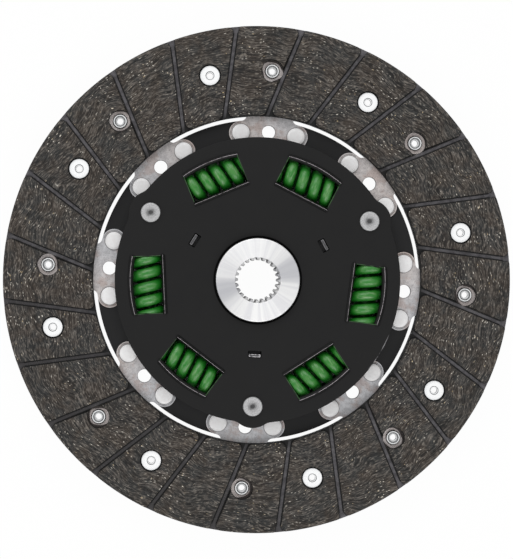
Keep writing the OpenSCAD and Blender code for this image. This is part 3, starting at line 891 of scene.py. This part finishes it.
def ring_steel():
    """Phosphated thrust ring and disc spring. The lugs' ends have uncoated edges with a painted
    highlight, the lowest one's brightest.
    """
    f = Finish("phosphated_ring_steel")
    _, y, z = f.xyz
    cloud = f.noise(500, 3)
    f.base = f.mix(cloud, (40, 40, 41), (58, 58, 59))
    # Lugs' ends: uncoated edges with a painted highlight, brightest on the lowest lug.
    from_middle = abs(f.out(3, pin_turn) - (lug_out - lug_t / 2) * MM)
    rim = f.past(abs(f.across(3, pin_turn)), lug_w / 2 - 0.5, lug_w / 2 - 0.2)
    rim = rim.math("MAXIMUM", f.past(from_middle, lug_t / 2 - 0.4, lug_t / 2 - 0.15))
    dull = f.mix(f.noise(1600, 4, 0.7), (44, 44, 46), (104, 104, 106))
    highlight_tone = f.mix(f.past(y, -10, 0), (226, 224, 226), (128, 127, 129))
    bare_and_highlit = f.mix(rim * f.spots(700, 0.3, 0.6), dull, highlight_tone)
    end = f.past(z, retainer_z + 0.6, retainer_z + 1.6)
    f.lay(end * (1 - f.steep()), bare_and_highlit)
    return f.surface(0.42 + cloud * 0.12, f.noise(3000), 0.00002, Metallic=0.5)


def piece(made, body, material, node):
    """Gives a piece its material and its body, and hides the CAD node that it stands for."""
    made.data.materials.append(material)
    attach(made, body)
    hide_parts(node)
    return made


def whole_turn(start, stop):
    """Angle of stop, counted on from the angle of start, in degrees."""
    first = angle_of(start)
    return first + (angle_of(stop) - first) % 360


def rounded_sector(inner, outer, sides, radii):
    """Outline between two rims and two straight sides, with rounded corners.

    Each side is (distance from the axis, angle). The radii start at the lower side's inner end.
    """
    bends = []
    for out, upper, radius in zip((-1, 1, 1, -1), (-1, -1, 1, 1), radii):
        line, turn = sides[upper > 0]
        y = line - upper * radius
        reach = (outer if out > 0 else inner) - out * radius
        centre = (math.sqrt(reach * reach - y * y), y)
        rim, side = angle_of(centre) + 90 - 90 * out, 90 * upper
        start, stop = (rim, side) if out == upper else (side, rim)
        stop = start + (stop - start + 180) % 360 - 180
        bends.append(turned_by(arc(centre, radius, start, stop), turn))
    first, second, third, fourth = bends
    front = arc((0, 0), outer, angle_of(second[-1]), whole_turn(second[-1], third[0]))
    back = arc((0, 0), inner, whole_turn(first[0], fourth[-1]), angle_of(first[0]))
    return first + second + front[1:-1] + third + fourth + back[1:-1]


def pad_outline(k):
    """Outline of the pad between groove k and the next."""
    turns = [groove_turn + n * 360 / groove_count for n in (k, k + 1)]
    lines = (groove_offset + groove_w / 2, groove_offset - groove_w / 2)
    radii = (pad_inner_r, pad_lead_r, pad_outer_r, pad_inner_r)
    return rounded_sector(facing_ir, facing_or, list(zip(lines, turns)), radii)


def facing(name, head_places, end_places):
    """Grooved facing, its rubbing face up: recesses for heads, and holes for rolled ends."""
    top = facing_z + facing_t
    edge = 0.36
    hole_r = facing_head_d / 2 + recess_gap
    drawing = Drawing()
    drawing.add("ring", circle(facing_or))
    drawing.add("bore", circle(facing_ir))
    for k in range(groove_count):
        drawing.outline("pad", pad_outline(k), edge)
    for turn, radius in head_places:
        centre = polar(radius, turn)
        drawing.outline("recess", circle(hole_r, centre), 0.3, hole=True)
        drawing.add("shank", shank_hole(facing_shank_d, centre))
    for turn, radius in end_places:
        drawing.outline("hole", circle(hole_r, polar(radius, turn)), 0.25, hole=True)

    def level(names, x, y):
        if "ring" not in names or names & {"bore", "hole", "shank"}:
            return None
        if "recess" in names:
            return facing_z, facing_z + facing_ledge_t, 0, 0
        if "pad" in names:
            return facing_z, top, 0, edge
        return facing_z, top - groove_depth, 0, 0

    return terraced(name, drawing, level)


def make_facings(lining):
    front = facing("facing_front", FRONT_PLACES, REAR_PLACES)
    piece(front, DISC, lining, "front_facing")
    rear = facing("facing_rear", flipped_places(REAR_PLACES), flipped_places(FRONT_PLACES))
    points = flipped([tuple(v.co / MM) for v in rear.data.vertices])
    for v, p in zip(rear.data.vertices, points):
        v.co = Vector(p) * MM
    piece(rear, DISC, lining, "rear_facing")


def facing_rivets(places):
    """Tubular rivets: flat heads on the ledges, and ends rolled over behind the segments."""
    bore_r = facing_bore_d / 2
    shank_r = facing_shank_d / 2
    head_r = facing_head_d / 2
    end_r = rolled_end_d / 2
    seat = facing_z + facing_ledge_t
    top = seat + facing_head_t
    end = facing_z - segment_t
    crest = end - 1.7
    profile = (
        (bore_r, end - 0.1, 0),
        (bore_r + 0.2, end - 0.2, 0),
        (end_r - 1.25, end - 0.65, 0),
        (end_r - 1, crest + 0.15, 0),
        (end_r - 0.88, crest, 0.05),
        (end_r - 0.42, crest, 0.1),
        (end_r, end - 0.4, 0),
        (end_r, end, 0.1),
        (shank_r, end, 0),
        (shank_r, seat, 0),
        (head_r, seat, 0.1),
        (head_r, top, 0.3),
        (bore_r + 0.7, top, 0.04),
        (bore_r + 0.38, top - 0.55, 0.04),
        (bore_r, top - 0.65, 0.1),
    )
    return gathered([lathe(profile, polar(radius, turn), PIN_SIDES) for turn, radius in places])


def make_facing_rivets(zinc):
    front = solid("rivets_front", *facing_rivets(FRONT_PLACES))
    piece(front, DISC, zinc, "front_facing_rivets")
    points, faces = facing_rivets(flipped_places(REAR_PLACES))
    rear = solid("rivets_rear", flipped(points), faces)
    piece(rear, DISC, zinc, "rear_facing_rivets")


# Where a segment's wave starts and stops, measured across it from its middle, and its bends
WAVE_START = polar(foot_r, foot_rivet_turn)[1] + foot_edge + 0.5
WAVE_STOP = polar(facing_rivet_r, segment_step + front_rivet_turn - segment_turn)[1] - 5
WAVE_BENDS = 10


def segment_wave(y):
    """Height of a segment above the rear facing at a distance across it."""
    share = min(1, max(0, (abs(y) - WAVE_START) / (WAVE_STOP - WAVE_START)))
    return wave_h * (3 * share ** 2 - 2 * share ** 3)


def paddle_outline():
    """Outline of a segment's paddle."""
    half = (segment_step - paddle_gap_turn) / 2
    inner, outer = facing_ir + paddle_margin, facing_or - paddle_margin
    radii = (paddle_inner_r, paddle_outer_r, paddle_outer_r, paddle_inner_r)
    return rounded_sector(inner, outer, [(0, -half), (0, half)], radii)


def foot_outline():
    """Outline of a segment's foot: a curved bar with round ends."""
    upper = turned_by(arc((foot_r, 0), foot_edge, 0, 180), foot_rivet_turn)
    lower = turned_by(arc((foot_r, 0), foot_edge, 180, 360), -foot_rivet_turn)
    outer = arc((0, 0), foot_r + foot_edge, -foot_rivet_turn, foot_rivet_turn)
    inner = arc((0, 0), foot_r - foot_edge, foot_rivet_turn, -foot_rivet_turn)
    return outer[:-1] + upper + inner[1:-1] + lower[:-1]


def corner_fillet():
    """Hollow corner between a foot's outer edge and the side of its neck."""
    fillet = 2.5
    y = neck_w / 2 + fillet
    centre = (math.sqrt((foot_r + foot_edge + fillet) ** 2 - y * y), y)
    return [(foot_r, neck_w / 2)] + arc(centre, fillet, 270, 180 + angle_of(centre))


def foot_rivets(turn):
    """Places of the two rivets in a foot that stands at an angle."""
    return [polar(foot_r, turn + side * foot_rivet_turn) for side in (-1, 1)]


def cushion_segment(n, steel):
    """One cushion segment: foot, neck and waved paddle, with its holes."""
    turn = SEGMENT_TURNS[n - 1]
    drawing = Drawing()
    drawing.add("foot", foot_outline())
    drawing.add("paddle", paddle_outline())
    half, end = neck_w / 2, facing_ir + 6
    drawing.add("neck", [(foot_r, -half), (end, -half), (end, half), (foot_r, half)])
    drawing.add("neck", corner_fillet())
    drawing.add("neck", [(x, -y) for x, y in reversed(corner_fillet())])
    for side in (-1, 1):
        for k in range(WAVE_BENDS):
            ends = [WAVE_START + (WAVE_STOP - WAVE_START) * i / WAVE_BENDS for i in (k, k + 1)]
            low, high = sorted(side * y for y in ends)
            loop = [(foot_r, low), (facing_or, low), (facing_or, high), (foot_r, high)]
            drawing.add("bend", loop)
    drawing.add("void", circle(sight_hole_d / 2, (foot_r, 0)))
    for place in foot_rivets(0):
        drawing.add("void", shank_hole(plate_shank_d, place))
    for angle, radius in (FRONT_PLACES[n % segment_count], REAR_PLACES[n - 1]):
        drawing.add("void", shank_hole(facing_shank_d, polar(radius, angle - turn)))

    def level(names, x, y):
        if "void" in names or not names & {"foot", "paddle", "neck"}:
            return None
        low = rear_z + segment_wave(y)
        return low, low + segment_t, 0, 0

    made = terraced("segment_%d" % n, drawing, level)
    for v in made.data.vertices:
        v.co = Vector((*turned_by([(v.co.x, v.co.y)], turn)[0], v.co.z))
    return piece(made, DISC, steel, "cushion_segment_%d" % n)


def make_segment_rivets(steel):
    """Solid rivets through feet and carrier plate: a flat dome in front, a low cone behind."""
    head_r = plate_head_d / 2
    shank_r = plate_shank_d / 2
    top = rear_z + segment_t
    bottom = rear_z - plate_t
    profile = (
        (0, bottom - plate_head_t, 0),
        (head_r - 1, bottom - plate_head_t, 0.4),
        (head_r - 0.5, bottom - plate_head_t / 2, 0.3),
        (head_r - 0.5, bottom, 0),
        (shank_r, bottom, 0),
        (shank_r, top, 0),
        (head_r, top, 0),
        (head_r, top + plate_head_t * 0.72, 0.5),
        (head_r - 1.2, top + plate_head_t, 2.5),
        (0, top + plate_head_t, 0),
    )
    places = [place for turn in SEGMENT_TURNS for place in foot_rivets(turn)]
    rivets = gathered([lathe(profile, place, PIN_SIDES) for place in places])
    piece(solid("rivets_segments", *rivets), DISC, steel, "segment_rivets")


# Height of a lip above its plate, as (distance from the window, share of the lip's height)
LIP_SECTIONS = {
    "inner": (
        (0, 0.05), (0.35, 0.5), (0.55, 0.78), (0.8, 1), (1, 0.86), (1.4, 0.6), (1.8, 0.3), (2.1, 0)
    ),
    "outer": (
        (0, 0.05), (0.5, 0.45), (1, 0.83), (1.2, 0.84), (1.45, 1), (1.65, 0.86), (2, 0.62),
        (2.4, 0.3), (2.7, 0)
    ),
}


def lip_rise(side, distance):
    """Height of a lip at a distance from its window's edge."""
    section = LIP_SECTIONS[side]
    for (d0, h0), (d1, h1) in zip(section, section[1:]):
        if distance <= d1 + TINY / 10:
            return lip_h * (h0 + (h1 - h0) * max(0, distance - d0) / (d1 - d0))
    return 0


def rim_turn(half, radius):
    """Angle at which an arc round the axis reaches a distance from a window's middle line."""
    return math.degrees(math.asin(half / radius))


def window_rim(half):
    """Points along a window's curved side, and on past its corners as far as half."""
    corner, end = rim_turn(window_l / 2, window_out), rim_turn(half, window_out)
    side = arc((0, 0), window_out, -corner, corner)
    if end - corner < TINY:
        return side
    return [polar(window_out, -end), *side, polar(window_out, end)]


def window_loop():
    """Window's outline: straight inside, curved outside, square ends."""
    half = window_l / 2
    return [(window_in, half), (window_in, -half)] + window_rim(half)


def band_loop(side, half, distance):
    """Loop of a band along a window's inner or outer side, from its edge to a distance away."""
    if side == "inner":
        flat = window_l / 2
        inner = window_in - distance
        straight = [(window_in, y) for y in sorted({-half, -flat, flat, half})]
        return [(inner, -half), *straight, (inner, half)]
    outer = window_out + distance
    end = rim_turn(half, outer)
    return arc((0, 0), outer, -end, end) + window_rim(half)[::-1]


def lip_loops():
    """Contours of both lips of a window, and of the relief behind them."""
    for side, section in LIP_SECTIONS.items():
        yield side, "relief", band_loop(side, window_l / 2, window_relief)
        for distance, _ in section[1:]:
            yield side, "lip", band_loop(side, lip_l / 2, distance)


def damper_plate(name, outline, bore_r, voids, base_z, front):
    """Plate with formed spring windows. front is 1 if its lips point to +Z, -1 if to -Z."""
    edge = 0.25
    drawing = Drawing()
    drawing.outline("plate", outline, edge)
    drawing.outline("void", circle(bore_r), edge, hole=True)
    for loop in voids:
        drawing.outline("void", loop, edge * 0.6, hole=True)
    for turn in PIN_TURNS:
        drawing.add("void", shank_hole(pin_shank_d, polar(pin_r, turn)))
    for turn in spring_turns:
        drawing.add("void", turned_by(window_loop(), turn))
        for side, part, loop in lip_loops():
            drawing.add((side, part, turn), turned_by(loop, turn))

    def level(names, x, y):
        if "plate" not in names or "void" in names:
            return None
        inside, outside = 0, plate_t
        inside_edge = outside_edge = edge
        for region in names:
            if not isinstance(region, tuple):
                continue
            side, part, turn = region
            if side == "inner":
                away = window_in - turned_by([(x, y)], -turn)[0][0]
            else:
                away = math.hypot(x, y) - window_out
            if part == "lip":
                outside = plate_t + lip_rise(side, away)
                outside_edge = 0
            else:
                inside = max(0, window_relief - away)
                inside_edge = 0
        if front > 0:
            return base_z + inside, base_z + outside, inside_edge, outside_edge
        return base_z - outside, base_z - inside, outside_edge, inside_edge

    return terraced(name, drawing, level)


def lobed_outline():
    """Retainer plate's outline: a circle with three lobes that blend into it."""
    far = retainer_r + lobe_blend_r
    near = lobe_r + lobe_blend_r
    spread = math.degrees(math.acos((far * far + pin_r * pin_r - near * near) / (2 * far * pin_r)))
    low, high = polar(far, -spread), polar(far, spread)
    to_low = angle_of((low[0] - pin_r, low[1]))
    to_high = angle_of((high[0] - pin_r, high[1]))
    lobe = arc(low, lobe_blend_r, 180 - spread, 180 + to_low)
    lobe += arc((pin_r, 0), lobe_r, to_low, to_high)[1:-1]
    lobe += arc(high, lobe_blend_r, to_high - 180, spread - 180)
    loop = []
    for turn in PIN_TURNS:
        loop += turned_by(lobe, turn)
        loop += arc((0, 0), retainer_r, turn + spread, turn + pin_step - spread)[1:-1]
    return loop


def make_plates(coat):
    holes = []
    for turn in SEGMENT_TURNS:
        holes.append(circle(sight_hole_d / 2, polar(foot_r, turn)))
        holes += [shank_hole(plate_shank_d, place) for place in foot_rivets(turn)]
    carrier = damper_plate("plate_carrier", circle(carrier_r), bush_r + bush_t, holes, rear_z, -1)
    piece(carrier, DISC, coat, "carrier_plate")
    slot = rounded_box(*slot_size, 0.4, (lug_circle_r, 0))
    slots = [turned_by(slot, turn) for turn in PIN_TURNS]
    retainer = damper_plate("plate_retainer", lobed_outline(), hub_r + 1, slots, retainer_z, 1)
    piece(retainer, DISC, coat, "retainer_plate")


def stop_pin(n, steel):
    """Shouldered pin, spun over at both ends, with a centre dimple."""
    body_r = pin_body_d / 2
    shank_r = pin_shank_d / 2
    head_r = pin_head_d / 2
    low = rear_z - plate_t
    high = retainer_z + plate_t
    # Radius, height over the plate and rounding of a head's corners, from its middle outwards
    head = (
        (0, pin_head_t - 0.9, 0),
        (dimple_r, pin_head_t - 0.75, 0.3),
        (2.1, pin_head_t, 0.4),
        (head_r - 0.3, pin_head_t, 0.3),
        (head_r, pin_head_t / 2, 0.3),
        (head_r, 0, 0),
        (shank_r, 0, 0),
    )
    profile = [(r, low - h, edge) for r, h, edge in head]
    profile += [(shank_r, rear_z, 0), (body_r, rear_z, 0.1)]
    profile += [(body_r, retainer_z, 0.1), (shank_r, retainer_z, 0)]
    profile += [(r, high + h, edge) for r, h, edge in reversed(head)]
    made = solid("pin_%d" % n, *lathe(profile, polar(pin_r, PIN_TURNS[n - 1]), PIN_SIDES))
    return piece(made, DISC, steel, "stop_pin_%d" % n)


def damper_spring(n, enamel):
    """Coil spring along a window, its ends ground flat."""
    turns = 4.86
    pitch = 6.45
    steps = 64
    sides = 24
    end_gap = 0.15
    wire_r = wire_d / 2
    coil_r = spring_od / 2 - wire_r
    half_l = window_l / 2 - end_gap
    lean = math.atan(pitch / (2 * math.pi * coil_r))
    phase = math.radians(spring_phases[n - 1])
    turn = spring_turns[n - 1]
    rings = int(turns * steps)
    points = []
    for i in range(rings + 1):
        t = i / steps
        around = 2 * math.pi * t + phase
        for j in range(sides):
            q = 2 * math.pi * (j + 0.5) / sides
            r = coil_r + wire_r * math.cos(q)
            side = wire_r * math.sin(q)
            tilt = side * math.sin(lean)
            x = spring_r + r * math.cos(around) + tilt * math.sin(around)
            y = (t - turns / 2) * pitch + side * math.cos(lean)
            z = spring_z - r * math.sin(around) + tilt * math.cos(around)
            points.append((*turned_by([(x, max(-half_l, min(half_l, y)))], turn)[0], z))
    faces = [list(range(sides)), [rings * sides + j for j in reversed(range(sides))]]
    for i in range(rings):
        faces += strip(i, i + 1, sides)
    made = solid("spring_%d" % n, points, faces, 40)
    piece(made, DISC, enamel, "damper_spring_%d" % n)
    along = turned_by([(0, 1)], turn)[0]
    anchor = tuple(v * MM for v in (*polar(spring_r, turn), spring_z))
    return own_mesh(made)


def spline_profile():
    """Radius and angle of the bore's outline: flat-topped teeth and tapered spaces."""
    pitch = 360 / teeth
    wide, narrow = (math.degrees(math.atan(share * math.tau / teeth)) for share in SPACE_SHARES)
    flank = [i / 4 for i in range(5)]
    outline = []
    for k in range(teeth):
        middle = spline_turn + k * pitch
        half = [(minor_r + (major_r - minor_r) * s, wide - (wide - narrow) * s) for s in flank]
        outline += [(r, middle - turn) for r, turn in half]
        outline.append((major_r, middle))
        outline += [(r, middle + turn) for r, turn in reversed(half)]
        outline.append((minor_r, middle + pitch / 2))
    return outline


def hub_body():
    """Hub from end to end: turned outside, splined bore with a flared mouth at each end."""
    outline = spline_profile()
    mouth = major_r + 0.3
    flare = [1.6 * i / 8 for i in range(9)]
    edge = 0.6
    rows = []
    for z in [hub_rear + s for s in flare] + [hub_front - flare[-1] + s for s in flare]:
        cone = mouth - min(z - hub_rear, hub_front - z)
        rows.append([(max(r, cone), turn, z) for r, turn in outline])
    outside = ((hub_r, hub_front, edge), (hub_r, hub_rear, edge))
    for r, z in round_profile(outside + ((mouth, hub_rear, 0), (mouth, hub_front, 0))):
        if r > mouth + TINY:
            rows.append([(r, turn, z) for _, turn in outline])
    points = [(*polar(r, turn), z) for row in rows for r, turn, z in row]
    faces = []
    for a in range(len(rows)):
        faces += strip(a, (a + 1) % len(rows), len(outline))
    return points, faces


def notch_outline():
    """Notch for a stop pin: room to turn both ways, open at the flange's rim."""
    notch_r = pin_body_d / 2 + 0.3
    past = pin_r + 2 * notch_r
    upper = turned_by([(past, notch_r)] + arc((pin_r, 0), notch_r, 90, 180), twist_limit)
    lower = turned_by(arc((pin_r, 0), notch_r, 180, 270) + [(past, -notch_r)], -twist_limit)
    floor = arc((0, 0), pin_r - notch_r, twist_limit, -twist_limit)[1:-1]
    return upper + floor + lower


def flange_window():
    """Window for a spring. Its inner side falls away at both ends, clear of the twisted coil."""
    half = window_l / 2
    inner = spring_r - spring_od / 2 - 0.25
    outer = spring_r + spring_od / 2 + 0.6
    low = inner - half * math.sin(math.radians(twist_limit)) * 0.8
    corner = 0.5
    right = arc((outer - corner, half - corner), corner, 0, 90)
    left = arc((outer - corner, corner - half), corner, 270, 360)
    return [(inner, -2.5), (low, -half)] + left + right + [(low, half), (inner, 2.5)]


def hub_flange():
    """Flange with a window for each spring and a notch for each stop pin."""
    edge = 0.3
    drawing = Drawing()
    drawing.outline("flange", circle(flange_r), edge)
    drawing.add("core", circle(hub_r - 0.5))
    for turn in spring_turns:
        drawing.outline("void", turned_by(flange_window(), turn), edge, hole=True)
    for turn in PIN_TURNS:
        drawing.outline("void", turned_by(notch_outline(), turn), edge, hole=True)

    def level(names, x, y):
        if "flange" not in names or names & {"void", "core"}:
            return None
        return flange_z, flange_z + flange_t, edge, edge

    return terraced("flange", drawing, level)


def make_hub(steel, flange_steel):
    piece(solid("hub_body", *hub_body()), HUB, steel, "hub")
    piece(hub_flange(), HUB, flange_steel, "hub")


def washer(low, high, edge):
    """Profile of a flat ring with softened edges."""
    corners = ((ring_ir, low), (ring_or, low), (ring_or, high), (ring_ir, high))
    return [(r, z, edge) for r, z in corners]


def make_friction_parts(plastic, washer_stuff, steel):
    """Everything between the flange and the two plates, from the rear to the front."""
    bush_end = rear_z - plate_t - 0.6
    bush = (
        (bush_r, bush_end, 0.2),
        (bush_r + bush_t, bush_end, 0.3),
        (bush_r + bush_t, rear_z, 0.05),
        (ring_or, rear_z, 0.1),
        (ring_or, rear_z + bush_flange_t, 0.2),
        (bush_r, rear_z + bush_flange_t, 0.2),
    )
    rear = washer(rear_ring_z, rear_ring_z + rear_ring_t, 0.12)
    front = washer(front_ring_z, front_ring_z + front_ring_t, 0.12)
    cone = (
        (ring_ir + 3, cone_z, 0.1),
        (ring_or - 0.5, retainer_z - cone_t, 0.1),
        (ring_or - 0.5, retainer_z, 0.1),
        (ring_ir + 3, cone_z + cone_t, 0.1),
    )
    for name, profile, stuff, slot, node in (
        ("bush", bush, plastic, "bush_plastic", "centring_bush"),
        ("washer_rear", rear, washer_stuff, "friction_ring", "rear_friction_ring"),
        ("washer_front", front, washer_stuff, "friction_ring", "front_friction_ring"),
        ("cone_spring", cone, steel, "ring_steel", "disc_spring"),
    ):
        piece(solid(name, *lathe(profile)), DISC, stuff, node)
    piece(thrust_ring(), DISC, steel, "thrust_ring")


def thrust_ring():
    """Ring with three arms whose lugs stand up in the retainer plate's slots."""
    edge = 0.1
    lug_in = lug_out - lug_t
    arm_in = ring_ir + 1
    arm = rounded_box(lug_out - arm_in, lug_w, 0.3, ((arm_in + lug_out) / 2, 0))
    lug = rounded_box(lug_t, lug_w, 0.25, ((lug_in + lug_out) / 2, 0))
    drawing = Drawing()
    drawing.add("ring", circle(ring_or))
    drawing.add("void", circle(ring_ir))
    for turn in PIN_TURNS:
        drawing.add("arm", turned_by(arm, turn))
        drawing.outline("lug", turned_by(lug, turn), edge)

    def level(names, x, y):
        if "void" in names or not names & {"ring", "arm", "lug"}:
            return None
        if "lug" in names:
            return thrust_z, retainer_z + plate_t - 0.4, 0, edge
        return thrust_z, thrust_z + thrust_t, 0, 0

    return terraced("ring_thrust", drawing, level)


def make_floor():
    """Pale floor that reads as white paper, and as deep shadow under the damper."""
    bpy.ops.mesh.primitive_plane_add(size=6, location=(0, 0, cad_low.z))
    floor = bpy.context.object
    floor.name = "floor"
    f = Finish("white_paper")
    rays = ("Is Camera Ray", "Is Glossy Ray", "Is Transmission Ray")
    camera, glossy, through = (f.node("LightPath", output=ray) for ray in rays)
    seen = (camera + glossy + through).math("MINIMUM", 1.0)
    under_damper = f.past(f.radius, 14, 20) * f.within(f.radius, 62, 66)
    paper = f.node("BsdfDiffuse", inputs={"Color": paint(240, 240, 240)})
    glow = f.node("Emission", inputs={"Color": (1, 1, 1, 1), "Strength": 1.0})
    share = seen * (1 - under_damper) * 0.97
    mixed = f.node("MixShader", inputs={0: share, 1: paper, 2: glow})
    f.node("OutputMaterial", inputs={"Surface": mixed})
    floor.data.materials.append(f.material)


def softbox(name, place, width, height, power):
    """Rectangular lamp that looks at the disc's middle."""
    light = bpy.data.lights.new(name, "AREA")
    light.shape = "RECTANGLE"
    light.size = width
    light.size_y = height
    light.energy = power
    lamp = bpy.data.objects.new(name, light)
    lamp.location = place
    lamp.rotation_euler = (-Vector(place)).to_track_quat("-Z", "Y").to_euler()
    bpy.context.scene.collection.objects.link(lamp)


def make_light():
    """Two large softboxes, above and below the picture, a dim one at its left, and an even room."""
    softbox("softbox_north", (-0.2, 1.0, 1.0), 1.4, 0.9, 9)
    softbox("softbox_south", (0.2, -1.0, 1.0), 1.4, 0.9, 8)
    softbox("softbox_west", (-1.2, 0.1, 0.7), 0.5, 0.5, 2)
    world = bpy.data.worlds.new("room")
    bpy.context.scene.world = world
    room = Nodes(world)
    white = (1, 1, 1, 1)
    seen = room.node("LightPath", output="Is Camera Ray")
    light = room.node("Background", inputs={"Color": white, "Strength": 0.5})
    backdrop = room.node("Background", inputs={"Color": white, "Strength": 1})
    mixed = room.node("MixShader", inputs={0: seen, 1: light, 2: backdrop})
    room.node("OutputWorld", inputs={"Surface": mixed})


# The photograph is 559 pixels high, which is 264.4 mm at the facings' front face
PICTURE_HEIGHT = 0.26439
CAMERA_DISTANCE = 1.3
CAMERA_LEFT = 1.87
CAMERA_UP = 0.68
DISC_SHIFT = (0.00032, -0.00018)
SENSOR_WIDTH = 36


def make_camera():
    """Camera nearly over the axis, a little to the left, aimed at the middle of the front face."""
    aim = Vector((-DISC_SHIFT[0], -DISC_SHIFT[1], (facing_z + facing_t) * MM))
    lean_x, lean_y = (math.tan(math.radians(turn)) for turn in (CAMERA_LEFT, CAMERA_UP))
    back = Vector((-lean_x, lean_y, 1)).normalized()
    right = Vector((0, 1, 0)).cross(back).normalized()
    up = back.cross(right)
    camera = bpy.data.objects.new("camera", bpy.data.cameras.new("camera"))
    bpy.context.scene.collection.objects.link(camera)
    turn = Matrix((right, up, back)).transposed().to_4x4()
    camera.matrix_world = Matrix.Translation(aim + back * CAMERA_DISTANCE) @ turn
    camera.data.sensor_width = SENSOR_WIDTH
    camera.data.lens = SENSOR_WIDTH * CAMERA_DISTANCE / PICTURE_HEIGHT
    camera.data.clip_start = 0.05
    bpy.context.scene.camera = camera


make_facings(friction_lining())
make_facing_rivets(zinc_rivet())
sheet_steel = spring_steel_sheet()
for number in range(1, segment_count + 1):
    cushion_segment(number, sheet_steel)
make_segment_rivets(plate_rivet_steel())
make_plates(black_plate_coat())
pin_steel = pin_end_steel()
for number in range(1, len(PIN_TURNS) + 1):
    stop_pin(number, pin_steel)
green = green_spring_paint()
for number in range(1, len(spring_turns) + 1):
    damper_spring(number, green)
make_hub(turned_hub_steel(), dark_flange_steel())
make_friction_parts(moulded_bush(), friction_washer(), ring_steel())

make_floor()
make_light()
make_camera()
bpy.context.scene.view_settings.view_transform = "Standard"
